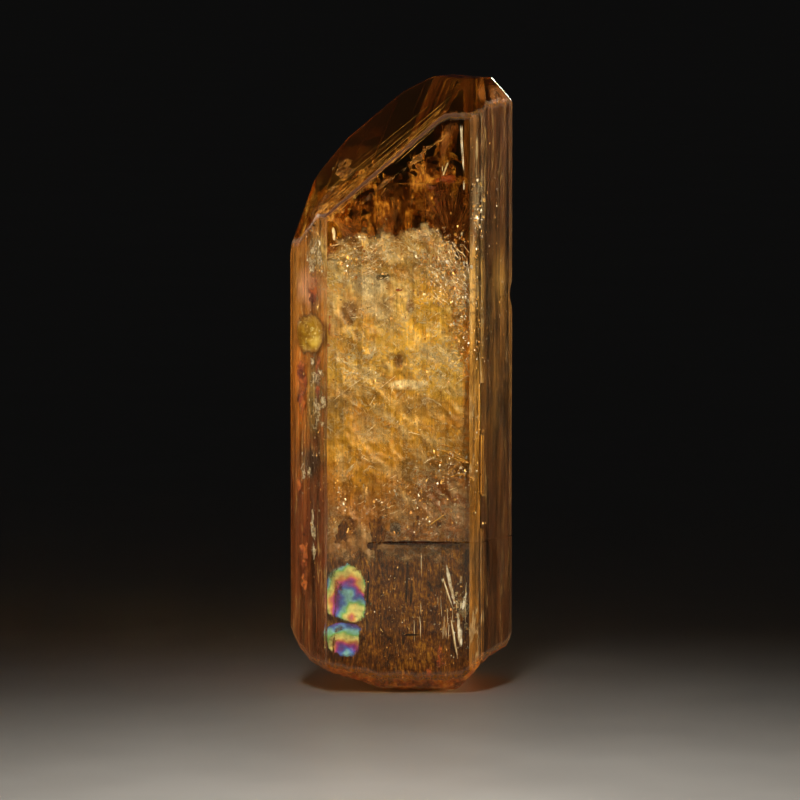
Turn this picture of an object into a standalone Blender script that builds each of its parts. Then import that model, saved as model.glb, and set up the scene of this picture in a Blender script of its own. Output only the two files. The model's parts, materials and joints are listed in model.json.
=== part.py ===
"""Imperial topaz crystal: a striated prism with a sloping end, standing on its broken lower end.

Lengths are in millimetres here and become metres when the mesh is written. +Z runs along the
prism and the broad front face looks to -Y. Faces are named by their Miller indices, so that the
angles between them are those of topaz.
"""

import math
import random

import bmesh
import bpy
from mathutils import Vector, noise

MM = 0.001
SEED = 41

# Unit cell edges of topaz in angstroms, which set every angle between faces
CELL_A = 4.65
CELL_B = 8.80
CELL_C = 8.40

# Distance of each prism face from the axis, going round from the front face to the right
FRONT_M = 6.60
FRONT_RIGHT_L = 8.20
RIGHT_B = 9.25
BACK_RIGHT_L = 9.00
BACK_RIGHT_M = 8.60
BACK_M = 6.90
BACK_LEFT_L = 8.30
BACK_LEFT_B = 8.25
LEFT_L = 9.62
FRONT_LEFT_M = 9.25

# Distance of each face of the sloping end from the middle of the foot
SLOPE_PYRAMID = 36.00
FRONT_PYRAMID = 40.275
STEEP_DOME = 26.75
MIDDLE_DOME = 38.32
LOW_DOME = 47.55
TIP_TABLE = 53.85
RIGHT_DOME = 32.15
BACK_PYRAMID = 41.45
LEFT_SHOULDER = 22.90
LEFT_STEEP_DOME = 17.65

# Worn edges are cut back by this much along the line between the two faces
RIDGE_WEAR = 0.13
SOFT_WEAR = 0.22

# Striations: mean width of a strip, and how deep it lies, on the broad faces and on the sides
BROAD_STRIP = 1.25
BROAD_DEPTH = 0.035
SIDE_STRIP = 0.62
SIDE_DEPTH = 0.11
STRIP_TILT = math.radians(18.75)

# The broken end: the patch that it stands on, and how the break climbs away from it
PATCH_LEFT = -1.40
PATCH_RIGHT = 4.60
PATCH_FRONT = -3.10
PATCH_BACK = 3.40
BREAK_LEFT = ((0.0, 0.0), (1.0, 0.45), (2.6, 1.10), (4.6, 1.65), (6.5, 2.45), (7.5, 3.35), (8.4, 4.70))
BREAK_RIGHT = ((0.0, 0.0), (0.6, 0.55), (1.4, 1.45), (2.3, 2.55), (3.1, 2.95), (4.6, 3.45), (5.4, 4.40))
BREAK_FRONT = ((0.0, 0.0), (1.4, 0.18), (2.6, 0.50), (3.5, 1.00), (5.0, 2.00))
BREAK_BACK = ((0.0, 0.0), (1.2, 0.35), (2.6, 0.95), (4.0, 1.90))
BREAK_GRAIN = 0.16
FOOT_ROUND = 0.42
PATCH_SQUARENESS = 3.0
RINGS = (0.0, 0.06, 0.15, 0.28, 0.44, 0.62, 0.79, 0.91, 0.975)
ROUND_FROM = 0.82
FOOT_ROWS = (0.10, 0.30, 0.62)
FOOT_TOP = 6.2

# A cleavage crack that reaches the surface across the front, and a nick in the right edge
CRACK_Z = 13.45
CRACK_GAP = 0.07
CRACK_DEPTH = 0.16
CRACK_FROM = -2.9
NICK_Z = 34.8
NICK_HALF = 1.5
NICK_DEPTH = 0.24
ROW_STEP = 7.2
STOCK_TOP = 60.0


def azimuth(h, k):
    """Turn of a face about +Z in radians, from the front face (1 1 0), positive to the right."""
    return math.atan2(k / CELL_B, h / CELL_A) - math.atan2(1 / CELL_B, 1 / CELL_A)


def polar(h, k, l):
    """Angle between a face's normal and +Z."""
    return math.atan2(CELL_C * math.hypot(h / CELL_A, k / CELL_B), l)


def normal(h, k, l):
    turn = azimuth(h, k) if h or k else 0.0
    lean = polar(h, k, l)
    return Vector((
        math.sin(lean) * math.sin(turn),
        -math.sin(lean) * math.cos(turn),
        math.cos(lean),
    ))


PRISM = (
    ((1, 1, 0), FRONT_M, BROAD_STRIP, BROAD_DEPTH),
    ((1, 2, 0), FRONT_RIGHT_L, SIDE_STRIP, SIDE_DEPTH),
    ((0, 1, 0), RIGHT_B, SIDE_STRIP, SIDE_DEPTH),
    ((-1, 2, 0), BACK_RIGHT_L, SIDE_STRIP, SIDE_DEPTH),
    ((-1, 1, 0), BACK_RIGHT_M, SIDE_STRIP, SIDE_DEPTH),
    ((-1, -1, 0), BACK_M, BROAD_STRIP, BROAD_DEPTH),
    ((-1, -2, 0), BACK_LEFT_L, SIDE_STRIP, SIDE_DEPTH),
    ((0, -1, 0), BACK_LEFT_B, SIDE_STRIP, SIDE_DEPTH),
    ((1, -2, 0), LEFT_L, SIDE_STRIP, SIDE_DEPTH),
    ((1, -1, 0), FRONT_LEFT_M, SIDE_STRIP, SIDE_DEPTH),
)

SLOPES = {
    "slope": ((1, -1, 2), SLOPE_PYRAMID),
    "front": ((1, 1, 2), FRONT_PYRAMID),
    "steep": ((0, -2, 1), STEEP_DOME),
    "middle": ((0, -1, 1), MIDDLE_DOME),
    "low": ((0, -1, 2), LOW_DOME),
    "tip": ((0, 0, 1), TIP_TABLE),
    "right": ((0, 2, 1), RIGHT_DOME),
    "back": ((-1, 1, 2), BACK_PYRAMID),
    "shoulder": ((1, -2, 1), LEFT_SHOULDER),
    "left": ((0, -4, 1), LEFT_STEEP_DOME),
}

SIDES = {
    "front_side": ((1, 1, 0), FRONT_M),
    "front_left_side": ((1, -1, 0), FRONT_LEFT_M),
    "right_side": ((0, 1, 0), RIGHT_B),
    "back_right_side": ((-1, 1, 0), BACK_RIGHT_M),
}

WORN = (
    ("slope", "front_side", RIDGE_WEAR),
    ("slope", "front_left_side", RIDGE_WEAR),
    ("front", "front_side", RIDGE_WEAR),
    ("front", "right_side", RIDGE_WEAR),
    ("slope", "steep", SOFT_WEAR),
    ("slope", "middle", SOFT_WEAR),
    ("slope", "low", RIDGE_WEAR),
    ("right", "right_side", RIDGE_WEAR),
    ("tip", "right", SOFT_WEAR),
    ("back", "right_side", SOFT_WEAR),
    ("back", "back_right_side", RIDGE_WEAR),
)


def outline_corners():
    """Corners of the prism's section: where each face's line meets the next one's."""
    corners = []
    for i, (index, far, _, _) in enumerate(PRISM):
        next_index, next_far, _, _ = PRISM[(i + 1) % len(PRISM)]
        a = normal(*index)
        b = normal(*next_index)
        cross = a.x * b.y - a.y * b.x
        corners.append(Vector((
            (far * b.y - next_far * a.y) / cross,
            (next_far * a.x - far * b.x) / cross,
        )))
    return corners


def striated_section(rng):
    """The section with its striations: flat strips joined by narrow ones tilted to the next face."""
    corners = outline_corners()
    points = []
    for i, (index, _, width, depth) in enumerate(PRISM):
        start = corners[i - 1]
        end = corners[i]
        inward = -normal(*index).to_2d().normalized()
        length = (end - start).length
        along = (end - start) / length
        points.append(start)
        at = width * rng.uniform(0.3, 0.8)
        level = 0.0
        while at < length - 0.45 * width:
            wanted = depth * rng.uniform(0.15, 1.0) if level < 0.3 * depth else 0.0
            tread = abs(wanted - level) / math.tan(STRIP_TILT)
            if at + tread > length - 0.12:
                break
            points.append(start + along * at + inward * level)
            points.append(start + along * (at + tread) + inward * wanted)
            level = wanted
            at += tread + width * rng.uniform(0.35, 1.5)
        if level > 0.0:
            points.append(start + along * (length - 0.06) + inward * level)
    return points


def climb(distance, profile):
    """Height of the break at a distance outside the standing patch."""
    if distance <= 0.0:
        return 0.0
    for (from_d, from_h), (to_d, to_h) in zip(profile, profile[1:]):
        if distance < to_d:
            return from_h + (to_h - from_h) * (distance - from_d) / (to_d - from_d)
    (from_d, from_h), (to_d, to_h) = profile[-2:]
    return to_h + (to_h - from_h) * (distance - to_d) / (to_d - from_d)


def break_height(x, y):
    """Height of the broken lower end over the point x, y: zero on the standing patch."""
    left = climb(PATCH_LEFT - x, BREAK_LEFT)
    right = climb(x - PATCH_RIGHT, BREAK_RIGHT)
    front = climb(PATCH_FRONT - y, BREAK_FRONT)
    back = climb(y - PATCH_BACK, BREAK_BACK)
    height = math.hypot(max(left, right), max(front, back))
    if height <= 0.0:
        return 0.0
    grain = noise.noise(Vector((x * 0.9, y * 0.9, 3.7))) + 0.5 * noise.noise(Vector((x * 2.3, y * 2.3, 9.1)))
    return height + BREAK_GRAIN * grain * min(1.0, height / 0.5)


def push_in(x, y, z):
    """How far the surface lies inside the plain prism at this height: the crack and the nick."""
    depth = 0.0
    if abs(z - CRACK_Z) < 0.5 * CRACK_GAP and y < -0.5 and x > CRACK_FROM:
        depth += CRACK_DEPTH * min(1.0, (x - CRACK_FROM) / 1.2)
    if x > 9.0:
        depth += NICK_DEPTH * max(0.0, 1.0 - abs(z - NICK_Z) / NICK_HALF)
    return depth


def row_heights():
    """Heights of the rows of vertices above the foot."""
    rows = [CRACK_Z - CRACK_GAP, CRACK_Z, CRACK_Z + CRACK_GAP]
    rows += [NICK_Z - NICK_HALF, NICK_Z, NICK_Z + NICK_HALF, STOCK_TOP]
    at = FOOT_TOP
    while at < STOCK_TOP:
        if all(abs(at - row) > 2.0 for row in rows):
            rows.append(at)
        at += ROW_STEP
    rows.append(FOOT_TOP)
    return sorted(set(rows))


def patch_point(centre, point):
    """Where the line from the patch's middle to a point of the section leaves the standing patch."""
    away = point - centre
    across = abs(away.x) / (PATCH_RIGHT - centre.x)
    deep = abs(away.y) / (PATCH_BACK - centre.y)
    size = (across ** PATCH_SQUARENESS + deep ** PATCH_SQUARENESS) ** (1.0 / PATCH_SQUARENESS)
    return centre + away / size


def build_stock(bm, section):
    """The striated prism with its broken foot and a flat top that the sloping faces cut away."""
    centre = Vector((0.5 * (PATCH_LEFT + PATCH_RIGHT), 0.5 * (PATCH_FRONT + PATCH_BACK)))
    loops = []
    for share in RINGS:
        loop = []
        for point in section:
            at = patch_point(centre, point).lerp(point, share)
            lift = FOOT_ROUND * max(0.0, (share - ROUND_FROM) / (1.0 - ROUND_FROM)) ** 2
            height = break_height(at.x, at.y) + lift if share > 0.0 else 0.0
            loop.append(bm.verts.new((at.x, at.y, height)))
        loops.append(loop)
    feet = [break_height(p.x, p.y) + 1.6 * FOOT_ROUND for p in section]
    for share in (0.0,) + FOOT_ROWS:
        loops.append([
            bm.verts.new((p.x, p.y, foot + share * (FOOT_TOP - foot)))
            for p, foot in zip(section, feet)
        ])
    for height in row_heights():
        loop = []
        for p in section:
            inner = p - p.normalized() * push_in(p.x, p.y, height)
            loop.append(bm.verts.new((inner.x, inner.y, height)))
        loops.append(loop)
    count = len(section)
    for low, high in zip(loops, loops[1:]):
        for i in range(count):
            j = (i + 1) % count
            bm.faces.new((low[i], low[j], high[j], high[i]))
    bm.faces.new(tuple(reversed(loops[0])))
    bm.faces.new(tuple(loops[-1]))


def cut(bm, direction, distance):
    """Removes all that lies beyond a plane and closes the cut with one flat face."""
    made = bmesh.ops.bisect_plane(
        bm,
        geom=bm.verts[:] + bm.edges[:] + bm.faces[:],
        dist=1e-5,
        plane_co=direction * distance,
        plane_no=direction,
        clear_outer=True,
    )
    rim = [item for item in made["geom_cut"] if isinstance(item, bmesh.types.BMEdge)]
    if rim:
        bmesh.ops.holes_fill(bm, edges=rim, sides=0)


def wear_plane(a, b, depth):
    """Direction and distance of the narrow worn face along the edge between two faces."""
    faces = {**SLOPES, **SIDES}
    index_a, far_a = faces[a]
    index_b, far_b = faces[b]
    both = normal(*index_a) + normal(*index_b)
    return both.normalized(), (far_a + far_b) / both.length - depth


def topaz_material():
    material = bpy.data.materials.new("imperial_topaz")
    material.use_nodes = True
    shader = material.node_tree.nodes["Principled BSDF"]
    shader.inputs["Base Color"].default_value = (0.93, 0.58, 0.18, 1.0)
    shader.inputs["Roughness"].default_value = 0.08
    shader.inputs["IOR"].default_value = 1.62
    shader.inputs["Transmission Weight"].default_value = 1.0
    return material


def clear_scene():
    for item in list(bpy.data.objects):
        bpy.data.objects.remove(item, do_unlink=True)


def main():
    clear_scene()
    bm = bmesh.new()
    build_stock(bm, striated_section(random.Random(SEED)))
    for index, distance in SLOPES.values():
        cut(bm, normal(*index), distance)
    for a, b, depth in WORN:
        cut(bm, *wear_plane(a, b, depth))
    bmesh.ops.dissolve_degenerate(bm, dist=1e-4, edges=bm.edges[:])
    bmesh.ops.triangulate(bm, faces=bm.faces[:])
    bmesh.ops.recalc_face_normals(bm, faces=bm.faces[:])
    low = Vector((min(v.co[i] for v in bm.verts) for i in range(3)))
    high = Vector((max(v.co[i] for v in bm.verts) for i in range(3)))
    middle = 0.5 * (low + high)
    bmesh.ops.translate(bm, verts=bm.verts[:], vec=(-middle.x, -middle.y, -low.z))
    bmesh.ops.scale(bm, verts=bm.verts[:], vec=(MM, MM, MM))

    mesh = bpy.data.meshes.new("topaz_crystal")
    bm.to_mesh(mesh)
    bm.free()
    mesh.materials.append(topaz_material())
    crystal = bpy.data.objects.new("topaz_crystal", mesh)
    group = bpy.data.collections.new("imperial_topaz_crystal")
    bpy.context.scene.collection.children.link(group)
    group.objects.link(crystal)


main()
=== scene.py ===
"""Imperial topaz crystal, dressed: clear striated outside, and the veils, flakes and stains inside it."""

import json
import math
import random

import bpy
import numpy as np
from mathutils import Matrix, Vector, noise

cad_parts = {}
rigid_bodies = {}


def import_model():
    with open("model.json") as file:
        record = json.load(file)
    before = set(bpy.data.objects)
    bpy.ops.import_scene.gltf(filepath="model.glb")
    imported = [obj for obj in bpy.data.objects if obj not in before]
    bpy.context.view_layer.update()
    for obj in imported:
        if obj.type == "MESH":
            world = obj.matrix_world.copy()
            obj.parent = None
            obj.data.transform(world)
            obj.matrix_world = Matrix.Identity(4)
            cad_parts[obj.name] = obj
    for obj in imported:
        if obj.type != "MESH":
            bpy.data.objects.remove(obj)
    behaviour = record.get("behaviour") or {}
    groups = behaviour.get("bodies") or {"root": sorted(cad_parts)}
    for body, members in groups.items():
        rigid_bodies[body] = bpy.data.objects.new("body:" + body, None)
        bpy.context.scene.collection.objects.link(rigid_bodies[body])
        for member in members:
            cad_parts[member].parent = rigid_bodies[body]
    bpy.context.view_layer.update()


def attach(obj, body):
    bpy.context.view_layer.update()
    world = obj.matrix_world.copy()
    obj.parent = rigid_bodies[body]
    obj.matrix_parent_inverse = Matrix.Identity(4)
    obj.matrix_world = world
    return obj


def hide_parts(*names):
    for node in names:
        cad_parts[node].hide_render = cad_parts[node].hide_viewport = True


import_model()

MM = 0.001
NODE = "topaz_crystal"
SEED = 41

# Unit cell edges of topaz in angstroms, which set every angle between faces
CELL_A = 4.65
CELL_B = 8.80
CELL_C = 8.40

# Striations: mean width of a strip, and how deep it lies, on the broad faces and on the sides
BROAD_STRIP = 1.25
BROAD_DEPTH = 0.035
SIDE_STRIP = 0.62
SIDE_DEPTH = 0.11
STRIP_TILT = math.radians(18.75)
FINE_DEPTH = 0.006
COLUMN_STEP = 0.135

# Prism faces by Miller index, with each one's distance from the axis in mm
PRISM = (
    ((1, 1, 0), 6.60, BROAD_STRIP, BROAD_DEPTH),
    ((1, 2, 0), 8.20, SIDE_STRIP, SIDE_DEPTH),
    ((0, 1, 0), 9.25, SIDE_STRIP, SIDE_DEPTH),
    ((-1, 2, 0), 9.00, SIDE_STRIP, SIDE_DEPTH),
    ((-1, 1, 0), 8.60, SIDE_STRIP, SIDE_DEPTH),
    ((-1, -1, 0), 6.90, BROAD_STRIP, BROAD_DEPTH),
    ((-1, -2, 0), 8.30, SIDE_STRIP, SIDE_DEPTH),
    ((0, -1, 0), 8.25, SIDE_STRIP, SIDE_DEPTH),
    ((1, -2, 0), 9.62, SIDE_STRIP, SIDE_DEPTH),
    ((1, -1, 0), 9.25, SIDE_STRIP, SIDE_DEPTH),
)

# Faces of the sloping end, with each one's distance from the middle of the foot in mm
SLOPES = (
    ((1, -1, 2), 36.00),
    ((1, 1, 2), 40.275),
    ((0, -2, 1), 26.75),
    ((0, -1, 1), 38.32),
    ((0, -1, 2), 47.55),
    ((0, 0, 1), 53.85),
    ((0, 2, 1), 32.15),
    ((-1, 1, 2), 41.45),
    ((1, -2, 1), 22.90),
    ((0, -4, 1), 17.65),
)
EDGE_BLEND = 0.10
RIDGE_CUT = 0.14

# Wear of the surface, from clear to chalky: over the break and round its rim
FOOT_WEAR = 0.45
RIM_WEAR = 0.6

# The broken end: the patch that it stands on, and how the break climbs away from it
PATCH_LEFT = -1.40
PATCH_RIGHT = 4.60
PATCH_FRONT = -3.10
PATCH_BACK = 3.40
PATCH_SQUARENESS = 3.0
BREAK_LEFT = (
    (0.0, 0.0), (1.0, 0.45), (2.6, 1.10), (4.6, 1.65), (6.5, 2.45), (7.5, 3.35), (8.4, 4.70),
)
BREAK_RIGHT = (
    (0.0, 0.0), (0.6, 0.55), (1.4, 1.45), (2.3, 2.55), (3.1, 2.95), (4.6, 3.45), (5.4, 4.40),
)
BREAK_FRONT = ((0.0, 0.0), (1.4, 0.18), (2.6, 0.50), (3.5, 1.00), (5.0, 2.00))
BREAK_BACK = ((0.0, 0.0), (1.2, 0.35), (2.6, 0.95), (4.0, 1.90))
BREAK_GRAIN = 0.16
FOOT_ROUND = 0.42
FOOT_RINGS = 26
FOOT_ROWS = 15

# The mesh of the outside: where the straight rows run, how far apart, and how far under the section
FOOT_TOP = 6.2
STRAIGHT_TOP = 36.0
ROW_STEP = 0.42
SKIN = 0.02
RIDGE_ROWS = 40
SLOPE_RINGS = 44
SLOPE_HEART = (0.8, 0.6)

# The cloud's arched top in the front view, how soon sheets fade, and how far the front ones reach
CLOUD_TOP_X = (-6.7, -4.5, -0.1, 2.1, 3.4, 4.75, 5.9)
CLOUD_TOP_Z = (38.6, 40.4, 40.6, 41.4, 40.6, 39.0, 37.4)
END_FADE = 3.0
RIM_FADE = 2.2
SHEET_SQUARENESS = 2.4
SHEET_LEFT = -6.9
SHEET_RIGHT = 6.2

# How far the rims of the cloud's marks blur, against their size
MARK_BLUR = 0.14

# The skin over the break, before it is trimmed to the crystal
FOOT_VEIL_SIZE = (20.0, 14.0)
FOOT_VEIL_LIFT = 0.55

# Points per mm of the veils under the side faces, and how much longer than wide the flakes are
VEIL_GRAIN = 5.0
FLAKE_STRETCH = 1.3

# Threads of this length or more keep to their way, and shorter ones turn freely
LONG_THREAD = 5.0

# No loose flake or sliver lies lower than this
CLEAR_OF_FOOT = 2.2

# A cleavage crack that reaches the surface across the front, and a nick in the right edge
CRACK_Z = 13.45
CRACK_GAP = 0.07
CRACK_DEPTH = 0.16
CRACK_FROM = -2.9
CRACK_CLEAR = 0.15
NICK_Z = 34.8
NICK_HALF = 1.5
NICK_DEPTH = 0.24

# The camera looks from the front, a little above level
VIEW_LIFT = math.radians(6.0)
CAMERA_FAR = 0.60
FRAME_WIDTH = 0.07048
AIM = (-0.0001, 0.0, 0.02525)

# Ways that sheets and slivers lie
ACROSS = (1.0, 0.0, 0.0)
INWARD = (0.0, 1.0, 0.0)
UPRIGHT = (0.0, 0.0, 1.0)
NO_SPREAD = (0.0, 0.0, 0.0)

# The front face, and how much lower things are put for each mm behind it, to look as high
FRONT = -6.75
SINK = 0.0647

# How far a line of sight falls on its way back
FALL = math.tan(VIEW_LIFT)

# The optics of imperial topaz: index, and what each colour keeps on its way through
INDEX = 1.62
ABSORB_COLOUR = (0.955, 0.73, 0.04, 1.0)
ABSORB_DENSITY = 150.0
LAMP_TINT = (0.97, 0.93, 0.85, 1.0)

# Colours of the surface, and of the threads and stains in the cloud
CLEAR_TINT = (1.0, 0.94, 0.82)
RUST = (0.78, 0.33, 0.015)
WORN_BROWN = (0.15, 0.066, 0.034)
CLOUD_RIM = (0.24, 0.110, 0.020)
CLOUD_MILK = (0.94, 0.80, 0.46)
CLOUD_RUST = (0.44, 0.17, 0.012)
CLOUD_HAIR = (0.12, 0.032, 0.004)
CLOUD_THREAD = (1.0, 0.95, 0.78)
BAND_HAIR = (0.06, 0.016, 0.003)

# All the lamps are set together by this factor
LAMP_POWER = 0.031
LAMP_AIM = (0.0, 0.0, 0.034)
FLOOR_AIM = (0.0, -0.092, 0.0)

# The floor's half width in mm, and the dark room round the stage
FLOOR_HALF = 3000.0
ROOM_COLOUR = (0.005, 0.005, 0.005, 1.0)


def azimuth(h, k):
    """How far a prism face is turned from the front face, towards the right."""
    return math.atan2(k / CELL_B, h / CELL_A) - math.atan2(1 / CELL_B, 1 / CELL_A)


def normal(h, k, l):
    """The way that a crystal face looks, from its Miller index."""
    turn = azimuth(h, k) if h or k else 0.0
    lean = math.atan2(CELL_C * math.hypot(h / CELL_A, k / CELL_B), l)
    return Vector((
        math.sin(lean) * math.sin(turn),
        -math.sin(lean) * math.cos(turn),
        math.cos(lean),
    ))


def outline_corners():
    """The corners of the plain section, where each prism face meets the next."""
    corners = []
    for i, (index, far, _, _) in enumerate(PRISM):
        next_index, next_far, _, _ = PRISM[(i + 1) % len(PRISM)]
        a = normal(*index)
        b = normal(*next_index)
        cross = a.x * b.y - a.y * b.x
        corners.append(Vector((
            (far * b.y - next_far * a.y) / cross,
            (next_far * a.x - far * b.x) / cross,
        )))
    return corners


def striated_section(rng):
    """The section with its striations: flat strips joined by narrow ones tilted to the next face."""
    corners = outline_corners()
    points = []
    for i, (index, _, width, depth) in enumerate(PRISM):
        start = corners[i - 1]
        end = corners[i]
        inward = -normal(*index).to_2d().normalized()
        length = (end - start).length
        along = (end - start) / length
        points.append(start)
        at = width * rng.uniform(0.3, 0.8)
        level = 0.0
        while at < length - 0.45 * width:
            wanted = depth * rng.uniform(0.15, 1.0) if level < 0.3 * depth else 0.0
            tread = abs(wanted - level) / math.tan(STRIP_TILT)
            if at + tread > length - 0.12:
                break
            points.append(start + along * at + inward * level)
            points.append(start + along * (at + tread) + inward * wanted)
            level = wanted
            at += tread + width * rng.uniform(0.35, 1.5)
        if level > 0.0:
            points.append(start + along * (length - 0.06) + inward * level)
    return points


def fine_section():
    """The section cut into short steps, with fine lines between the main strips."""
    main = striated_section(random.Random(SEED))
    rng = random.Random(SEED + 1)
    points = []
    for a, b in zip(main, main[1:] + main[:1]):
        length = (b - a).length
        steps = max(1, round(length / COLUMN_STEP))
        inward = Vector((-(b - a).y, (b - a).x)).normalized()
        for i in range(steps):
            lower = FINE_DEPTH * rng.random() if 0 < i else 0.0
            points.append(a.lerp(b, i / steps) + inward * lower)
    return np.array([tuple(p) for p in points])


def climb(distance, profile):
    """The height of a profile at a distance from the patch, carried on past its last point."""
    if distance <= 0.0:
        return 0.0
    for (from_d, from_h), (to_d, to_h) in zip(profile, profile[1:]):
        if distance < to_d:
            return from_h + (to_h - from_h) * (distance - from_d) / (to_d - from_d)
    (from_d, from_h), (to_d, to_h) = profile[-2:]
    return to_h + (to_h - from_h) * (distance - to_d) / (to_d - from_d)


def break_height(x, y):
    """How high the rough break lies over a point of the plan."""
    left = climb(PATCH_LEFT - x, BREAK_LEFT)
    right = climb(x - PATCH_RIGHT, BREAK_RIGHT)
    front = climb(PATCH_FRONT - y, BREAK_FRONT)
    back = climb(y - PATCH_BACK, BREAK_BACK)
    height = math.hypot(max(left, right), max(front, back))
    if height <= 0.0:
        return 0.0
    grain = noise.noise((x * 0.9, y * 0.9, 3.7)) + 0.5 * noise.noise((x * 2.3, y * 2.3, 9.1))
    chips = noise.hetero_terrain((x * 1.6, y * 1.6, 5.5), 0.8, 2.1, 4, 0.6)
    return height + (BREAK_GRAIN * grain + 0.05 * (chips - 0.6)) * min(1.0, height / 0.5)


def slope_height(x, y):
    """Height of the sloping end over plan points, its edges a little rounded."""
    heights = []
    for index, far in SLOPES:
        n = normal(*index)
        heights.append((far - n.x * x - n.y * y) / n.z)
    heights = np.array(heights)
    least = heights.min(axis=0)
    return least - EDGE_BLEND * np.log(np.exp(-(heights - least) / EDGE_BLEND).sum(axis=0))


def patch_point(centre, point):
    """Where the line from the patch's centre to a point crosses the patch's edge."""
    away = point - centre
    across = abs(away[0]) / (PATCH_RIGHT - centre[0])
    deep = abs(away[1]) / (PATCH_BACK - centre[1])
    size = (across ** PATCH_SQUARENESS + deep ** PATCH_SQUARENESS) ** (1.0 / PATCH_SQUARENESS)
    return centre + away / size


def push_in(x, y, z):
    """How far the crack and the nick take the surface in."""
    depth = 0.0
    if abs(z - CRACK_Z) < 0.5 * CRACK_GAP and y < -0.5 and x > CRACK_FROM:
        depth += CRACK_DEPTH * min(1.0, (x - CRACK_FROM) / 1.2)
    if x > 9.0:
        depth += NICK_DEPTH * max(0.0, 1.0 - abs(z - NICK_Z) / NICK_HALF)
    return depth


def wander(x, y, z):
    """Slow unevenness of the growth surface along the prism, and small chips on its edges."""
    slow = noise.noise((x * 0.55, y * 0.55, z * 0.11))
    fast = noise.noise((x * 2.1, y * 2.1, z * 0.30 + 7.0))
    return 0.020 * slow + 0.006 * fast


def ridge_wear(points):
    """The frosted ridge runs up the front and left, and fades towards the right and the back."""
    right = np.clip((6.4 - points[:, 0]) / 2.5, 0.0, 1.0)
    left = np.clip((points[:, 0] + 8.0) / 1.5, 0.0, 1.0)
    front = np.clip((1.5 - points[:, 1]) / 2.5, 0.0, 1.0)
    return 0.5 + 0.5 * right * left * front


def grid_faces(rows, across, closed=False):
    """The faces between rows of points, each row a line or, if closed, a ring."""
    faces = []
    for low in range(0, (rows - 1) * across, across):
        high = low + across
        for i in range(across if closed else across - 1):
            j = (i + 1) % across
            faces.append((low + i, low + j, high + j, high + i))
    return faces


def foot_loops(section):
    """Rings from the patch out over the break, then up to the straight rows, each with its wear."""
    centre = np.array((0.5 * (PATCH_LEFT + PATCH_RIGHT), 0.5 * (PATCH_FRONT + PATCH_BACK)))
    loops = []
    for share in np.concatenate([[0.0], np.linspace(0.02, 1.0, FOOT_RINGS)[:-1] ** 0.9]):
        ring = []
        for p in section:
            at = patch_point(centre, p) * (1.0 - share) + p * share
            lift = FOOT_ROUND * max(0.0, (share - 0.82) / 0.18) ** 2
            ring.append((*at, break_height(*at) + lift if share > 0.0 else 0.0))
        loops.append((ring, FOOT_WEAR))
    feet = np.array([break_height(*p) for p in section]) + 1.6 * FOOT_ROUND
    for share in np.linspace(0.0, 1.0, FOOT_ROWS)[:-1] ** 1.3:
        worn = RIM_WEAR if share == 0.0 else max(0.0, FOOT_WEAR - 3.0 * share)
        loops.append((np.column_stack([section, feet + share * (FOOT_TOP - feet)]), worn))
    return loops


def prism_loops(section):
    """Level rings up the straight part, with three close together at the crack."""
    rows = [z for z in np.arange(FOOT_TOP, STRAIGHT_TOP, ROW_STEP) if abs(z - CRACK_Z) > CRACK_CLEAR]
    loops = []
    for z in sorted(rows + [CRACK_Z - CRACK_GAP, CRACK_Z, CRACK_Z + CRACK_GAP]):
        ring = []
        for p in section:
            out = p / np.linalg.norm(p)
            ring.append((*(p - out * (push_in(*p, z) + wander(*p, z) + SKIN)), z))
        loops.append((ring, 0.0))
    return loops


def end_loops(section):
    """Rings up to the edge of the sloping end, over its worn bevel, and in over the slope."""
    out = section / np.linalg.norm(section, axis=1)[:, None]
    ragged = np.array([1.0 + 0.9 * noise.noise((x * 2.2, y * 2.2, 1.0)) for x, y in section])
    cut = RIDGE_CUT * np.clip(ragged, 0.45, 1.7)
    ridge = slope_height(*section.T) - 1.15 * cut
    worn = ridge_wear(section)
    loops = []
    for share in np.linspace(0.0, 1.0, RIDGE_ROWS):
        z = STRAIGHT_TOP + share * (ridge - STRAIGHT_TOP)
        loops.append((np.column_stack([section - out * SKIN, z]), worn if share == 1.0 else 0.0))
    for inset, sink in ((0.30, 0.30), (0.62, 0.10)):
        at = section - out * (cut * inset)[:, None]
        jag = np.array([0.035 * noise.noise((x * 6.0, y * 6.0, 4.0)) for x, y in at])
        loops.append((np.column_stack([at, slope_height(*at.T) - cut * sink + jag]), worn))
    edge = section - out * cut[:, None]
    for share in np.linspace(0.0, 1.0, SLOPE_RINGS)[:-1] ** 1.25:
        at = edge * (1.0 - share) + np.array(SLOPE_HEART) * share
        loops.append((np.column_stack([at, slope_height(*at.T)]), worn if share == 0.0 else 0.0))
    return loops


def crystal_shell():
    """The outside as one closed mesh of rings, and how worn it is at each point."""
    section = fine_section()
    count = len(section)
    loops = foot_loops(section) + prism_loops(section) + end_loops(section)
    verts = np.concatenate([np.array(ring) for ring, _ in loops])
    faces = grid_faces(len(loops), count, closed=True)
    faces.append(tuple(reversed(range(count))))
    faces.append(tuple(range(len(verts) - count, len(verts))))
    return verts, faces, np.concatenate([np.broadcast_to(worn, count) for _, worn in loops])


def cad_shift():
    """From the middle of the foot to the row frame: the solid's box is centred over the origin."""
    corners = np.array([tuple(c) for c in outline_corners()])
    middle = -0.5 * (corners.min(axis=0) + corners.max(axis=0))
    return np.array((*middle, 0.0))


SHIFT = cad_shift()
FACES = {index: far for index, far, _, _ in PRISM} | dict(SLOPES)

# The faces that things are placed under
SLOPE = (1, -1, 2)
LEFT = (1, -1, 0)
FRONT_FACE = (1, 1, 0)
STRIP = (1, 2, 0)
RIGHT = (0, 1, 0)


def room(points):
    """How far each point in the row frame lies inside the crystal, in mm."""
    local = points[:, :3] - SHIFT
    least = np.array([z - break_height(x, y) if z < FOOT_TOP else np.inf for x, y, z in local])
    for index, far in FACES.items():
        least = np.minimum(least, far - local @ np.array(normal(*index)))
    return least


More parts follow.
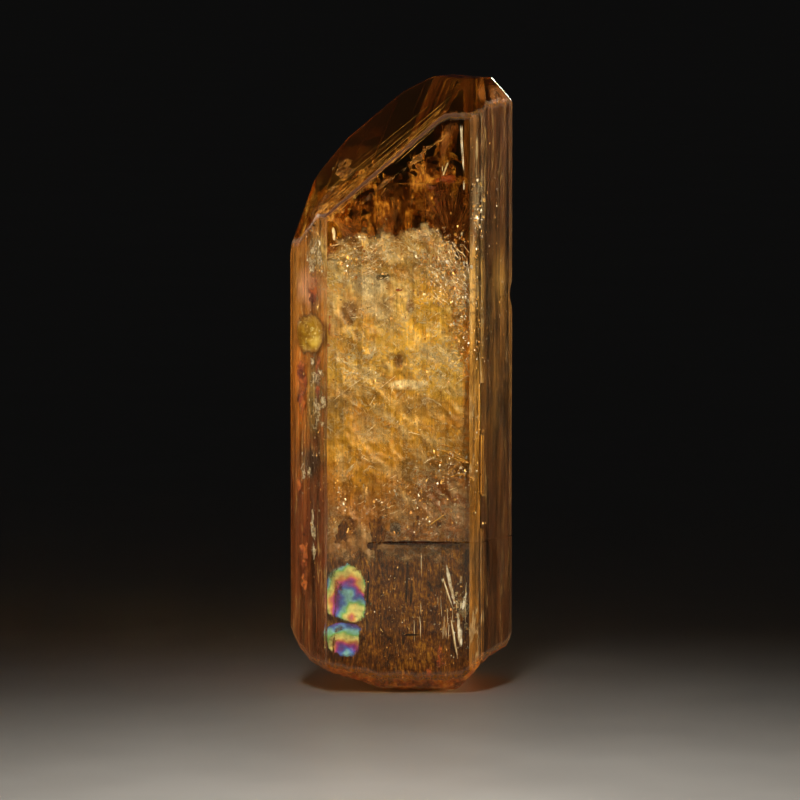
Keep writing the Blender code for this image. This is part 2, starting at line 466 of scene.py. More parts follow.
def front_point(x, height, depth):
    """The point depth mm under the front face that the front view shows at x and height."""
    return np.array((x, FRONT + depth, height - SINK * depth))


def left_along():
    """The way across the left face, towards the front."""
    facing = normal(*LEFT)
    return (-facing.y, facing.x, 0.0)


def slope_frame():
    """The slope's normal, the way its lower edge runs, and the way up and back over it."""
    facing = np.array(normal(*SLOPE))
    along = np.cross(facing, np.array(normal(*FRONT_FACE)))
    along = along / np.linalg.norm(along)
    if along[0] < 0.0:
        along = -along
    return facing, along, np.cross(facing, along)


def face_point(index, x, height, depth):
    """The point depth mm under a face, below where the front view shows it at x and height."""
    n = np.array(normal(*index))
    far = FACES[index]
    rest = far - n[0] * (x - SHIFT[0]) + n[1] * SHIFT[1] - n[2] * (height + FALL * FRONT)
    y = rest / (n[1] - n[2] * FALL)
    return np.array((x, y, height - FALL * (y - FRONT))) - depth * n


def mark(mesh, name, values):
    """Keeps one number for each point of a mesh, for its material to read."""
    data = mesh.attributes.new(name, "FLOAT", "POINT")
    data.data.foreach_set("value", values.astype(np.float32))


def link(name, verts, faces, material, ride=True, smooth=True, sharp=None):
    """A new piece from points in mm. A fourth column, where there is one, says where it fades."""
    mesh = bpy.data.meshes.new(name)
    mesh.from_pydata((verts[:, :3] * MM).tolist(), [], faces)
    mesh.update()
    if verts.shape[1] > 3:
        mark(mesh, "fade", verts[:, 3])
    if smooth:
        mesh.shade_smooth()
    if sharp is not None:
        mesh.set_sharp_from_angle(angle=sharp)
    mesh.materials.append(material)
    piece = bpy.data.objects.new(name, mesh)
    bpy.context.scene.collection.objects.link(piece)
    if ride:
        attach(piece, "root")
    return piece


class Nodes:
    """Short ways to add and join shader nodes in one material."""

    def __init__(self, name):
        self.material = bpy.data.materials.new(name)
        self.material.use_nodes = True
        self.tree = self.material.node_tree
        self.shader = self.tree.nodes["Principled BSDF"]
        self.output = self.tree.nodes["Material Output"]
        self.place = self.add("ShaderNodeTexCoord").outputs["Object"]

    def add(self, kind, **values):
        node = self.tree.nodes.new(kind)
        for key, value in values.items():
            setattr(node, key, value)
        return node

    def join(self, source, target):
        self.tree.links.new(source, target)

    def stretched(self, scale, turn):
        """Places scaled along each axis, and turned about the way that the front view looks."""
        node = self.add("ShaderNodeMapping")
        node.vector_type = "TEXTURE"
        node.inputs["Rotation"].default_value = (0.0, turn, 0.0)
        node.inputs["Scale"].default_value = tuple(1.0 / c for c in scale)
        self.join(self.place, node.inputs["Vector"])
        return node.outputs["Vector"]

    def noise(self, scale, detail=4.0, rough=0.55, stretch=(1.0, 1.0, 1.0), twist=0.0, turn=0.0):
        node = self.add("ShaderNodeTexNoise")
        node.inputs["Scale"].default_value = scale
        node.inputs["Detail"].default_value = detail
        node.inputs["Roughness"].default_value = rough
        node.inputs["Distortion"].default_value = twist
        self.join(self.stretched(stretch, turn), node.inputs["Vector"])
        return node.outputs["Fac"]

    def ramp(self, source, stops):
        """Colours by steps of the source."""
        node = self.add("ShaderNodeValToRGB")
        steps = node.color_ramp.elements
        while len(steps) < len(stops):
            steps.new(0.5)
        for step, (at, colour) in zip(steps, stops):
            step.position = at
            step.color = (*colour, 1.0) if len(colour) == 3 else colour
        self.join(source, node.inputs["Fac"])
        return node.outputs["Color"]

    def value(self, source, low, high, to_low, to_high):
        """The source from low to high, carried over to another range and held there."""
        node = self.add("ShaderNodeMapRange")
        node.inputs["From Min"].default_value = low
        node.inputs["From Max"].default_value = high
        node.inputs["To Min"].default_value = to_low
        node.inputs["To Max"].default_value = to_high
        self.join(source, node.inputs["Value"])
        return node.outputs["Result"]

    def math(self, operation, a, b):
        node = self.add("ShaderNodeMath", operation=operation)
        for socket, item in zip(node.inputs, (a, b)):
            if isinstance(item, (int, float)):
                socket.default_value = item
            else:
                self.join(item, socket)
        return node.outputs["Value"]

    def times(self, a, b):
        return self.math("MULTIPLY", a, b)

    def plus(self, a, b):
        return self.math("ADD", a, b)

    def minus(self, a, b):
        return self.math("SUBTRACT", a, b)

    def most(self, a, b):
        return self.math("MAXIMUM", a, b)

    def blend(self, *parts):
        """The sum of several sources, each times its share."""
        total = self.times(*parts[0])
        for source, share in parts[1:]:
            total = self.plus(total, self.times(source, share))
        return total

    def mix(self, factor, a, b):
        node = self.add("ShaderNodeMix", data_type="RGBA")
        if isinstance(factor, float):
            node.inputs["Factor"].default_value = factor
        else:
            self.join(factor, node.inputs["Factor"])
        for socket, item in zip((node.inputs[6], node.inputs[7]), (a, b)):
            if isinstance(item, tuple):
                socket.default_value = (*item, 1.0)
            else:
                self.join(item, socket)
        return node.outputs[2]

    def attribute(self, name):
        """The number that mark kept for each point."""
        return self.add("ShaderNodeAttribute", attribute_name=name).outputs["Fac"]

    def height(self):
        split = self.add("ShaderNodeSeparateXYZ")
        self.join(self.place, split.inputs[0])
        return split.outputs["Z"]

    def scaled(self, colour, amount):
        node = self.add("ShaderNodeVectorMath", operation="SCALE")
        self.join(colour, node.inputs[0])
        self.join(amount, node.inputs["Scale"])
        return node.outputs[0]

    def fading(self, cover, wisps=0.5):
        """A cover that thins out to nothing towards the edge of the piece, in wisps."""
        fade = self.attribute("fade")
        torn = self.times(self.minus(self.noise(900.0, 6.0, 0.65), 0.5), 2.0 * wisps)
        return self.times(cover, self.value(self.plus(fade, torn), 0.15, 0.55, 0.0, 1.0))

    def ridges(self, source, width):
        """Thin wandering lines where a noise passes its middle."""
        return self.value(self.math("ABSOLUTE", self.minus(source, 0.5), 0.0), 0.0, width, 1.0, 0.0)

    def near(self, centre, reach, blur=0.35):
        """One within an oval round centre, in mm, falling to nothing outside it over a ragged edge."""
        away = self.add("ShaderNodeVectorMath", operation="SUBTRACT")
        away.inputs[1].default_value = tuple(c * MM for c in centre)
        self.join(self.place, away.inputs[0])
        scaled = self.add("ShaderNodeVectorMath", operation="DIVIDE")
        scaled.inputs[1].default_value = tuple(r * MM for r in reach)
        self.join(away.outputs[0], scaled.inputs[0])
        length = self.add("ShaderNodeVectorMath", operation="LENGTH")
        self.join(scaled.outputs[0], length.inputs[0])
        ragged = self.times(self.noise(420.0, 5.0, 0.6), 0.9)
        return self.value(self.plus(length.outputs["Value"], ragged), 1.30 - blur, 1.30 + blur, 1.0, 0.0)

    def bump(self, source, strength, distance):
        node = self.add("ShaderNodeBump")
        node.inputs["Strength"].default_value = strength
        node.inputs["Distance"].default_value = distance
        self.join(source, node.inputs["Height"])
        self.join(node.outputs["Normal"], self.shader.inputs["Normal"])

    def set(self, **values):
        """Sets or joins inputs of the main shader, by name with underscores for spaces."""
        for key, value in values.items():
            socket = self.shader.inputs[key.replace("_", " ")]
            if hasattr(value, "is_output"):
                self.join(value, socket)
            else:
                socket.default_value = value


def let_lamps_in(n):
    """Lets the lamps' light pass straight through the glass, to reach what lies inside."""
    clear = n.add("ShaderNodeBsdfTransparent")
    clear.inputs["Color"].default_value = LAMP_TINT
    mix = n.add("ShaderNodeMixShader")
    n.join(n.add("ShaderNodeLightPath").outputs["Is Shadow Ray"], mix.inputs[0])
    n.join(n.shader.outputs[0], mix.inputs[1])
    n.join(clear.outputs[0], mix.inputs[2])
    n.join(mix.outputs[0], n.output.inputs["Surface"])


def deepen(n):
    """The body colour, which grows stronger with the light's way through the crystal."""
    body = n.add("ShaderNodeVolumeAbsorption")
    body.inputs["Color"].default_value = ABSORB_COLOUR
    body.inputs["Density"].default_value = ABSORB_DENSITY
    n.join(body.outputs[0], n.output.inputs["Volume"])


def topaz_surface():
    """Clear, finely lined topaz that turns rusty, then frosted and chalky, as the wear grows."""
    n = Nodes("topaz_clear")
    wear = n.attribute("wear")
    lines = n.noise(1.0, 3.0, 0.55, (3800.0, 3800.0, 55.0))
    pits = n.noise(4200.0, 3.0, 0.6)
    streaks = n.value(n.noise(1.0, 4.0, 0.6, (900.0, 900.0, 45.0)), 0.58, 0.80, 0.02, 0.07)
    edge = n.value(wear, 0.25, 0.85, 0.0, 1.0)
    rough = n.add("ShaderNodeMix")
    n.join(edge, rough.inputs["Factor"])
    n.join(streaks, rough.inputs[2])
    n.join(n.value(pits, 0.3, 0.7, 0.30, 0.75), rough.inputs[3])
    dust = n.value(n.noise(3000.0, 5.0, 0.7), 0.44, 0.54, 0.55, 1.0)
    chalk = n.times(n.value(wear, 0.6, 1.0, 0.0, 1.0), dust)
    rust = n.times(n.value(wear, 0.15, 0.45, 0.0, 1.0), n.value(pits, 0.35, 0.60, 0.5, 1.0))
    n.set(
        Base_Color=n.mix(n.value(wear, 0.6, 0.8, 0.0, 1.0), n.mix(rust, CLEAR_TINT, RUST), WORN_BROWN),
        Specular_Tint=(1.0, 0.86, 0.64, 1.0),
        Roughness=rough.outputs[0],
        IOR=INDEX,
        Specular_IOR_Level=n.value(wear, 0.25, 0.90, 0.42, 0.02),
        Transmission_Weight=n.minus(1.0, n.most(chalk, n.times(rust, 0.12))),
    )
    n.bump(n.plus(n.times(lines, 0.6), n.times(pits, n.times(edge, 2.2))), 0.25, 0.00003)
    let_lamps_in(n)
    deepen(n)
    return n.material


# Parts of the cloud with a colour of their own, except that the pale first one at the top right is partly a
# painted highlight and partly the pale frost there: middle and half size in mm, and colour
CLOUD_ZONES = (
    ((4.2, -4.0, 37.6), (2.4, 5.0, 3.0), (1.0, 0.80, 0.42)),
    ((-2.6, -4.0, 35.2), (3.6, 5.0, 2.2), (0.82, 0.62, 0.27)),
    ((2.4, -4.0, 32.6), (3.0, 5.0, 3.6), (0.92, 0.58, 0.085)),
    ((-3.6, -4.0, 22.8), (3.4, 5.0, 5.0), (0.66, 0.36, 0.036)),
    ((4.2, -4.0, 16.6), (3.8, 5.0, 4.4), (0.24, 0.076, 0.006)),
    ((6.0, -4.0, 29.0), (0.7, 5.0, 9.0), (0.90, 0.38, 0.030)),
)

# Smaller marks in it with sharper rims, laid over the milk and rust
CLOUD_MARKS = (
    ((-2.6, -4.0, 36.0), (2.0, 5.0, 1.2), (0.74, 0.62, 0.38)),
    ((-2.0, -4.0, 34.1), (1.7, 5.0, 1.2), (0.66, 0.50, 0.26)),
    ((2.4, -4.0, 34.0), (2.0, 5.0, 2.6), (0.74, 0.46, 0.060)),
    ((-1.5, -4.0, 36.7), (0.9, 5.0, 0.55), (0.11, 0.085, 0.040)),
    ((-4.5, -4.0, 33.6), (0.8, 5.0, 1.3), (0.30, 0.16, 0.050)),
    ((0.8, -4.0, 34.1), (0.5, 5.0, 0.8), (0.26, 0.14, 0.035)),
    ((-0.2, -4.0, 29.3), (0.55, 5.0, 0.8), (0.26, 0.13, 0.028)),
    ((1.7, -4.0, 25.4), (2.3, 5.0, 1.4), (0.45, 0.26, 0.050)),
    ((-5.4, -4.0, 25.3), (1.5, 5.0, 1.1), (0.40, 0.23, 0.042)),
    ((0.7, -4.0, 19.8), (1.0, 5.0, 1.5), (0.30, 0.16, 0.032)),
    ((-0.5, -4.0, 14.6), (0.6, 5.0, 0.7), (0.09, 0.045, 0.015)),
    ((0.6, -4.0, 27.2), (2.2, 5.0, 0.6), (0.90, 0.76, 0.46)),
)


def cloud_colour(n, height, milky):
    """The cloud's colours: its layers by height, then zones (one of them partly a painted highlight), milk,
    rust and the small marks.
    """
    colour = n.ramp(n.value(height, 0.010, 0.042, 0.0, 1.0), (
        (0.10, (0.31, 0.115, 0.008)),
        (0.28, (0.47, 0.215, 0.020)),
        (0.45, (0.64, 0.375, 0.048)),
        (0.70, (0.68, 0.455, 0.088)),
        (0.90, (0.62, 0.445, 0.130)),
    ))
    for centre, reach, zone in CLOUD_ZONES:
        colour = n.mix(n.near(centre, reach), colour, zone)
    colour = n.mix(n.value(n.attribute("fade"), 0.1, 1.3, 0.85, 0.0), colour, CLOUD_RIM)
    colour = n.mix(milky, colour, CLOUD_MILK)
    rusty = n.noise(300.0, 3.5, 0.55, (1.0, 1.0, 0.8), 1.4, -0.4)
    colour = n.mix(n.value(rusty, 0.50, 0.66, 0.0, 0.60), colour, CLOUD_RUST)
    for centre, reach, mark in CLOUD_MARKS:
        colour = n.mix(n.near(centre, reach, MARK_BLUR), colour, mark)
    return colour


def cloud_threads(n, milky):
    """Pale threads: long, short and frilled ones that wander, and straight streaks."""
    patch = n.value(n.noise(240.0, 3.0, 0.5), 0.46, 0.56, 0.0, 1.0)
    other = n.value(n.noise(200.0, 3.0, 0.5, (1.0, 1.0, 1.3)), 0.46, 0.58, 0.15, 1.0)
    long = n.ridges(n.noise(240.0, 3.0, 0.45, (1.0, 1.0, 1.8), 2.2, 0.6), 0.011)
    short = n.ridges(n.noise(520.0, 3.0, 0.5, (1.0, 1.0, 1.7), 2.8, 0.5), 0.024)
    frill = n.ridges(n.noise(1300.0, 3.0, 0.5, (1.0, 1.0, 1.2), 2.2), 0.034)
    streak = n.noise(1.0, 3.0, 0.60, (3600.0, 3600.0, 420.0), 0.0, 0.75)
    streak = n.value(streak, 0.60, 0.68, 0.0, 1.0)
    threads = n.most(n.times(long, other), n.times(short, patch))
    threads = n.most(threads, n.times(frill, milky))
    return n.most(threads, n.times(n.times(streak, other), 0.8))


def cloud_material(name, alpha_low, alpha_high):
    """Milky cloud: beige above, golden in the middle, brown below, with pale threads and dark hairlines."""
    n = Nodes(name)
    grain = n.noise(3400.0, 4.0, 0.65)
    hatch = n.noise(1.0, 3.0, 0.60, (5200.0, 5200.0, 100.0))
    ragged = n.times(n.minus(n.noise(260.0, 5.0, 0.6), 0.5), 0.012)
    height = n.plus(n.height(), ragged)
    upper = n.value(height, 0.014, 0.030, 0.30, 1.0)
    milky = n.value(n.noise(250.0, 3.0, 0.50, (1.0, 1.0, 1.5), 1.6, 0.5), 0.48, 0.68, 0.0, 0.70)
    milky = n.times(milky, upper)
    tone = n.blend((grain, 0.35), (hatch, 0.65))
    colour = n.scaled(cloud_colour(n, height, milky), n.value(tone, 0.38, 0.62, 0.62, 1.24))
    hair = n.ridges(n.noise(430.0, 2.5, 0.5, (1.0, 1.0, 0.7), 2.4, 0.3), 0.006)
    colour = n.mix(n.times(hair, 0.8), colour, CLOUD_HAIR)
    threads = cloud_threads(n, milky)
    cover = n.noise(300.0, 5.0, 0.60, (1.0, 1.0, 0.6), 0.8)
    n.set(
        Base_Color=n.mix(n.times(threads, upper), colour, CLOUD_THREAD),
        Roughness=n.value(grain, 0.35, 0.65, 0.20, 0.42),
        Specular_IOR_Level=0.5,
        Alpha=n.fading(n.value(cover, 0.38, 0.48, alpha_low, alpha_high), 0.8),
    )
    n.bump(n.blend((tone, 0.4), (threads, 0.35)), 1.0, 0.00026)
    return n.material


def streaked_material(name, tones, alpha_low, alpha_high, fine, share=0.6):
    """Iron-brown veil with streaks, which run with the prism where fine is least along z."""
    n = Nodes(name)
    streak = n.noise(1.0, 6.0, 0.66, fine)
    patch = n.noise(380.0, 6.0, 0.62, (1.0, 1.0, 0.45), 0.6)
    tone = n.blend((streak, share), (patch, 1.0 - share))
    n.set(
        Base_Color=n.ramp(tone, tuple(zip((0.42, 0.48, 0.53, 0.60), tones))),
        Roughness=n.value(streak, 0.3, 0.7, 0.3, 0.6),
        Specular_IOR_Level=0.2,
        Alpha=n.fading(n.value(patch, 0.38, 0.55, alpha_low, alpha_high)),
    )
    n.bump(streak, 1.0, 0.0004)
    return n.material


def flake_material(name, low, high, metallic, rough, fades=False):
    """Shining flakes and slivers, of a colour between low and high."""
    n = Nodes(name)
    tone = n.noise(1400.0, 3.0, 0.6)
    n.set(
        Base_Color=n.ramp(tone, ((0.36, low), (0.62, high))),
        Metallic=metallic,
        Roughness=n.value(tone, 0.3, 0.7, rough * 0.6, rough * 1.4),
    )
    if fades:
        n.set(Alpha=n.fading(n.value(tone, 0.4, 0.5, 0.7, 1.0), 0.25))
    n.bump(n.noise(2600.0, 2.0, 0.5), 0.4, 0.00004)
    return n.material


def stain_material():
    """Rust-red and nearly black iron stains with wispy rims."""
    n = Nodes("iron_stain")
    tone = n.noise(900.0, 5.0, 0.65)
    tones = ((0.38, (0.05, 0.006, 0.002)), (0.50, (0.22, 0.035, 0.005)), (0.64, (0.52, 0.15, 0.02)))
    n.set(
        Base_Color=n.ramp(tone, tones),
        Roughness=n.value(tone, 0.3, 0.7, 0.3, 0.6),
        Specular_IOR_Level=0.2,
        Alpha=n.fading(n.value(n.noise(1100.0, 5.0, 0.65), 0.42, 0.56, 0.2, 0.95)),
    )
    return n.material


def rainbow_material():
    """Thin-film colours in bands that follow the fracture's gap, which its points carry."""
    n = Nodes("rainbow_film")
    gap = n.attribute("gap")
    uneven = n.times(n.minus(n.noise(700.0, 4.0, 0.6), 0.5), 0.28)
    turns = n.math("FRACT", n.plus(gap, uneven), 0.0)
    bands = n.ramp(turns, (
        (0.00, (0.95, 0.85, 0.30)),
        (0.14, (0.85, 0.34, 0.12)),
        (0.26, (0.62, 0.08, 0.30)),
        (0.38, (0.25, 0.07, 0.50)),
        (0.50, (0.10, 0.22, 0.85)),
        (0.62, (0.30, 0.72, 0.90)),
        (0.74, (0.28, 0.70, 0.22)),
        (0.86, (0.80, 0.85, 0.30)),
        (1.00, (0.95, 0.85, 0.30)),
    ))
    dim = n.scaled(bands, n.value(n.noise(800.0, 4.0, 0.6), 0.35, 0.62, 0.45, 0.95))
    cover = n.value(n.noise(560.0, 5.0, 0.6), 0.36, 0.44, 0.3, 1.0)
    n.set(Base_Color=dim, Roughness=0.30, Metallic=0.1, Alpha=n.fading(cover, 0.3))
    n.bump(n.noise(1300.0, 3.0, 0.5), 0.35, 0.0001)
    return n.material


def cloud_top(x):
    """How high the cloud reaches in the front view: an arch that falls away to the right."""
    return float(np.interp(x, CLOUD_TOP_X, CLOUD_TOP_Z)) + 0.7 * noise.noise((x * 1.1, 3.0, 0.0))


def front_sheet(low, high, depth, relief, step, seed):
    """A crumpled sheet behind the whole front face, for the cloud as the front view shows it."""
    xs = np.arange(SHEET_LEFT, SHEET_RIGHT, step)
    heights = np.arange(low, high, step)
    verts = np.empty((len(heights), len(xs), 4))
    for j, z in enumerate(heights):
        for i, x in enumerate(xs):
            q = Vector((x, z * 0.7, seed * 9.0))
            crease = 0.50 * abs(noise.noise(q * 0.40)) + 0.30 * abs(noise.noise(q * 0.9))
            crease += 0.10 * abs(noise.noise(q * 2.4))
            inner = min(1.0, (7.0 - abs(x)) / 2.0)
            y = FRONT + depth + relief * (2.0 * crease - 0.4) * inner
            fade = min((z - low) / END_FADE, (high - z) / END_FADE, (cloud_top(x) + 0.5 - z) / 2.4)
            verts[j, i] = (x, y, z, fade)
    return shown(verts.reshape(-1, 4), grid_faces(*verts.shape[:2]))


def section_at(count):
    """The plain section, resampled to even steps and centred in the row frame."""
    corners = np.array([tuple(c) for c in outline_corners()]) + SHIFT[:2]
    ways = np.roll(corners, -1, axis=0) - corners
    lengths = np.linalg.norm(ways, axis=1)
    marks = np.concatenate([[0.0], np.cumsum(lengths)])
    at = np.linspace(0.0, marks[-1], count, endpoint=False)
    which = np.searchsorted(marks, at, side="right") - 1
    share = (at - marks[which]) / lengths[which]
    return corners[which] + ways[which] * share[:, None]


def veil_skin(scale, low, high, crumple, holes, seed, columns=190, step=0.17):
    """One crumpled layer of the cloud: a sleeve round the axis that fades at its holes and ends."""
    section = section_at(columns) * scale
    rows = np.arange(low, high, step)
    verts = np.empty((len(rows), columns, 4))
    for j, z in enumerate(rows):
        for i, p in enumerate(section):
            q = Vector((p[0], p[1], z * 0.55 + seed * 11.0))
            big = noise.noise(q * 0.35)
            fold = noise.turbulence(q * 0.8, 4, True)
            fine = noise.noise(q * 2.7) + 0.6 * noise.noise(q * 6.0)
            push = 1.0 + crumple * (0.9 * big + 0.55 * (fold - 0.55) + 0.13 * fine)
            gap = noise.noise(q * 0.62 + Vector((3.0, 1.0, 0.0))) + 0.45 * noise.noise(q * 2.3)
            end = min(z - low, high - z) / END_FADE
            if high > 30.0:
                end = min(end, (cloud_top(p[0]) - 0.6 - z) / 1.5)
            fade = min(end, (gap - holes + 0.55) * 2.5)
            verts[j, i] = (p[0] * push, p[1] * push, z + 0.5 * noise.noise(q * 1.3), fade)
    return shown(verts.reshape(-1, 4), grid_faces(len(rows), columns, closed=True))


def shown(verts, faces):
    """The faces that haven't faded away at every corner."""
    visible = verts[:, 3] > -0.4
    return verts, [f for f in faces if any(visible[i] for i in f)]


def keep_inside(verts, faces, margin):
    """The faces whose corners all lie at least margin under the crystal's surface."""
    deep = room(verts) > margin
    kept = [f for f in faces if all(deep[i] for i in f)]
    used = sorted({i for f in kept for i in f})
    order = {old: new for new, old in enumerate(used)}
    return verts[used], [tuple(order[i] for i in f) for f in kept]


def sheet(centre, across, up, size, seed, crumple, holes, grain, ragged):
    """A sheet through centre, spanned by two directions, that fades at its ragged rim.

    It is crumpled by so many mm, has more holes the higher that value is, and has grain points a mm.
    """
    a = np.array(Vector(across).normalized())
    b = np.array(Vector(up).normalized())
    facing = np.cross(a, b)
    wide, tall = size
    nu = max(6, int(wide * grain))
    nv = max(6, int(tall * grain))
    verts = np.empty((nv + 1, nu + 1, 4))
    for j in range(nv + 1):
        for i in range(nu + 1):
            u = 2.0 * i / nu - 1.0
            v = 2.0 * j / nv - 1.0
            q = Vector((u * wide * 0.5, v * tall * 0.5, seed * 7.3))
            out = 1.4 * noise.noise(q * 0.5) + 0.8 * noise.noise(q * 1.4) + 0.35 * noise.noise(q * 3.7)
            rim = (abs(u) ** SHEET_SQUARENESS + abs(v) ** SHEET_SQUARENESS) ** (1 / SHEET_SQUARENESS)
            torn = ragged * (noise.noise(q * 1.1) + 0.6 * noise.noise(q * 3.1))
            open_here = noise.noise(q * 1.9 + Vector((5.0, 0.0, 0.0))) - holes + 0.6
            flat = np.array(centre) + a * u * wide * 0.5 + b * v * tall * 0.5
            verts[j, i, :3] = flat + facing * (crumple * out)
            verts[j, i, 3] = min((0.95 - rim - torn) * RIM_FADE, open_here * 3.0)
    return shown(verts.reshape(-1, 4), grid_faces(nv + 1, nu + 1))


def joined(parts):
    """One mesh out of several lists of points and faces."""
    verts = []
    faces = []
    offset = 0
    for part_verts, part_faces in parts:
        verts.append(part_verts)
        faces += [tuple(i + offset for i in f) for f in part_faces]
        offset += len(part_verts)
    return np.concatenate(verts), faces


def beside(way, axis):
    """Two directions square to a way, the first of them also square to an axis that it doesn't run along."""
    axes = np.eye(3)
    helper = axes[axis] if abs(way[axis]) < 0.9 else axes[0]
    across = np.cross(way, helper)
    across /= np.linalg.norm(across)
    return across, np.cross(way, across)


def flake(rng, centre, size, facing, stretch):
    """One thin irregular flake: a shallow fan of five to seven corners."""
    facing = facing / np.linalg.norm(facing)
    across, up = beside(facing, 2)
    corners = rng.integers(5, 8)
    turns = (np.arange(corners) + rng.uniform(-0.3, 0.3, corners)) * 2 * np.pi / corners
    reach = size * rng.uniform(0.55, 1.15, corners)
    rim = centre + np.outer(np.cos(turns) * reach, across) + np.outer(np.sin(turns) * reach * stretch, up)
    rim += np.outer(rng.uniform(-0.18, 0.18, corners) * size, facing)
    verts = np.vstack([rim, centre + facing * size * rng.uniform(-0.2, 0.2)])
    return verts, [(i, (i + 1) % corners, corners) for i in range(corners)]


def scatter(rng, count, middle, spread, size, stretch, lean):
    """Flakes round a point, their facing mostly across the given lean."""
    made = []
    for _ in range(count):
        centre = np.array(middle) + rng.normal(0.0, 1.0, 3) * np.array(spread)
        facing = rng.normal(0.0, 1.0, 3) * np.array(lean)
        reach = size * min(rng.lognormal(0.0, 0.45), 2.0)
        made.append(flake(rng, centre, reach, facing, stretch * rng.uniform(0.6, 1.5)))
    return made


def glitter(rng, count, index, middle, reach, depth, size):
    """Flakes spread under one face, round the x and height of the middle in the front view."""
    facing = np.array(normal(*index))
    made = []
    for _ in range(count):
        x = middle[0] + 0.6 * reach[0] * (rng.uniform(-1.0, 1.0) + rng.uniform(-1.0, 1.0))
        height = middle[1] + 0.6 * reach[1] * (rng.uniform(-1.0, 1.0) + rng.uniform(-1.0, 1.0))
        centre = face_point(index, x, height, depth * rng.uniform(0.4, 1.3))
        lean = facing + rng.normal(0.0, 0.55, 3)
        wide = size * min(rng.lognormal(0.0, 0.5), 2.2)
        made.append(flake(rng, centre, wide, lean, FLAKE_STRETCH * rng.uniform(0.6, 1.6)))
    return made


def inside_only(parts, margin):
    """The parts whose every point is well inside the crystal and above its foot."""
    return [part for part in parts if room(part[0]).min() > margin and part[0][:, 2].min() > CLEAR_OF_FOOT]


def splinters(rng, count, middle, spread, direction, length, width, fan=0.0, wave=0.0, steps=5):
    """Thin three-sided slivers round a point, most of them along one direction."""
    made = []
    lead = np.array(direction) / np.linalg.norm(direction)
    for _ in range(count):
        centre = np.array(middle) + rng.uniform(-1.0, 1.0, 3) * np.array(spread)
        way = lead + rng.normal(0.0, fan, 3)
        way /= np.linalg.norm(way)
        across, up = beside(way, 1)
        reach = length * rng.lognormal(0.0, 0.5)
        thick = width * rng.uniform(0.5, 1.6)
        phase = rng.uniform(0.0, 50.0)
        verts = []
        for k in range(steps + 1):
            t = k / steps
            fat = thick * (0.25 + math.sin(math.pi * min(max(t, 0.04), 0.96)))
            bend = noise.noise((t * reach * 0.9, phase, 0.0))
            bend += 0.5 * noise.noise((t * reach * 3.1, phase, 5.0))
            side = across * rng.normal(0.0, 0.012)
            spine = centre + way * (t - 0.5) * reach + up * (wave * bend) + side
            for turn in (0.3, 2.4, 4.5):
                verts.append(spine + fat * (math.cos(turn) * across + math.sin(turn) * up))
        last = 3 * steps
        faces = grid_faces(steps + 1, 3, closed=True) + [(2, 1, 0), (last, last + 1, last + 2)]
        made.append((np.array(verts), faces))
    return made


def build_crystal():
    """The outside, which takes the place of the CAD solid."""
    verts, faces, kinds = crystal_shell()
    crystal = link("crystal_outside", verts + SHIFT, faces, topaz_surface(), sharp=math.radians(9.0))
    mark(crystal.data, "wear", np.clip(kinds, 0.0, 1.0))
    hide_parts(NODE)


def build_cloud():
    """Two crumpled sleeves round the axis, and the sheet that the front view shows before them."""
    veil = cloud_material("cloud_veil", 0.25, 1.0)
    for name, scale, low, high, crumple, holes, seed in (
        ("cloud_outer", 0.82, 12.0, 43.0, 0.08, -0.35, 1),
        ("cloud_middle", 0.62, 11.6, 43.4, 0.13, -0.6, 2),
    ):
        verts, faces = veil_skin(scale, low, high, crumple, holes, seed)
        verts, faces = keep_inside(verts, faces, 0.5)
        if name == "cloud_outer":
            faces = [f for f in faces if verts[f[0]][1] > -4.2]
        link(name, verts, faces, veil)
    front = cloud_material("cloud_front", 0.80, 1.0)
    link("cloud_front", *keep_inside(*front_sheet(11.0, 44.0, 1.15, 0.7, 0.11, 1), 0.3), front)


def face_veil(index, low, high, depth):
    """A sheet that runs at one depth under a whole prism face, from edge to edge."""
    which = [face for face, _, _, _ in PRISM].index(index)
    corners = [np.array(tuple(c)) + SHIFT[:2] for c in outline_corners()]
    start = corners[which - 1]
    end = corners[which]
    inward = -np.array(tuple(normal(*index)))
    across = max(4, int(np.linalg.norm(end - start) * VEIL_GRAIN))
    heights = np.arange(low, high, 1.0 / VEIL_GRAIN)
    verts = []
    for z in heights:
        for i in range(across + 1):
            at = start + (end - start) * i / across
            push = depth * (1.0 + 0.25 * noise.noise((at[0] * 0.9, at[1] * 0.9, z * 0.16)))
            verts.append((at[0] + inward[0] * push, at[1] + inward[1] * push, z, 1.0))
    return np.array(verts), grid_faces(len(heights), across + 1)


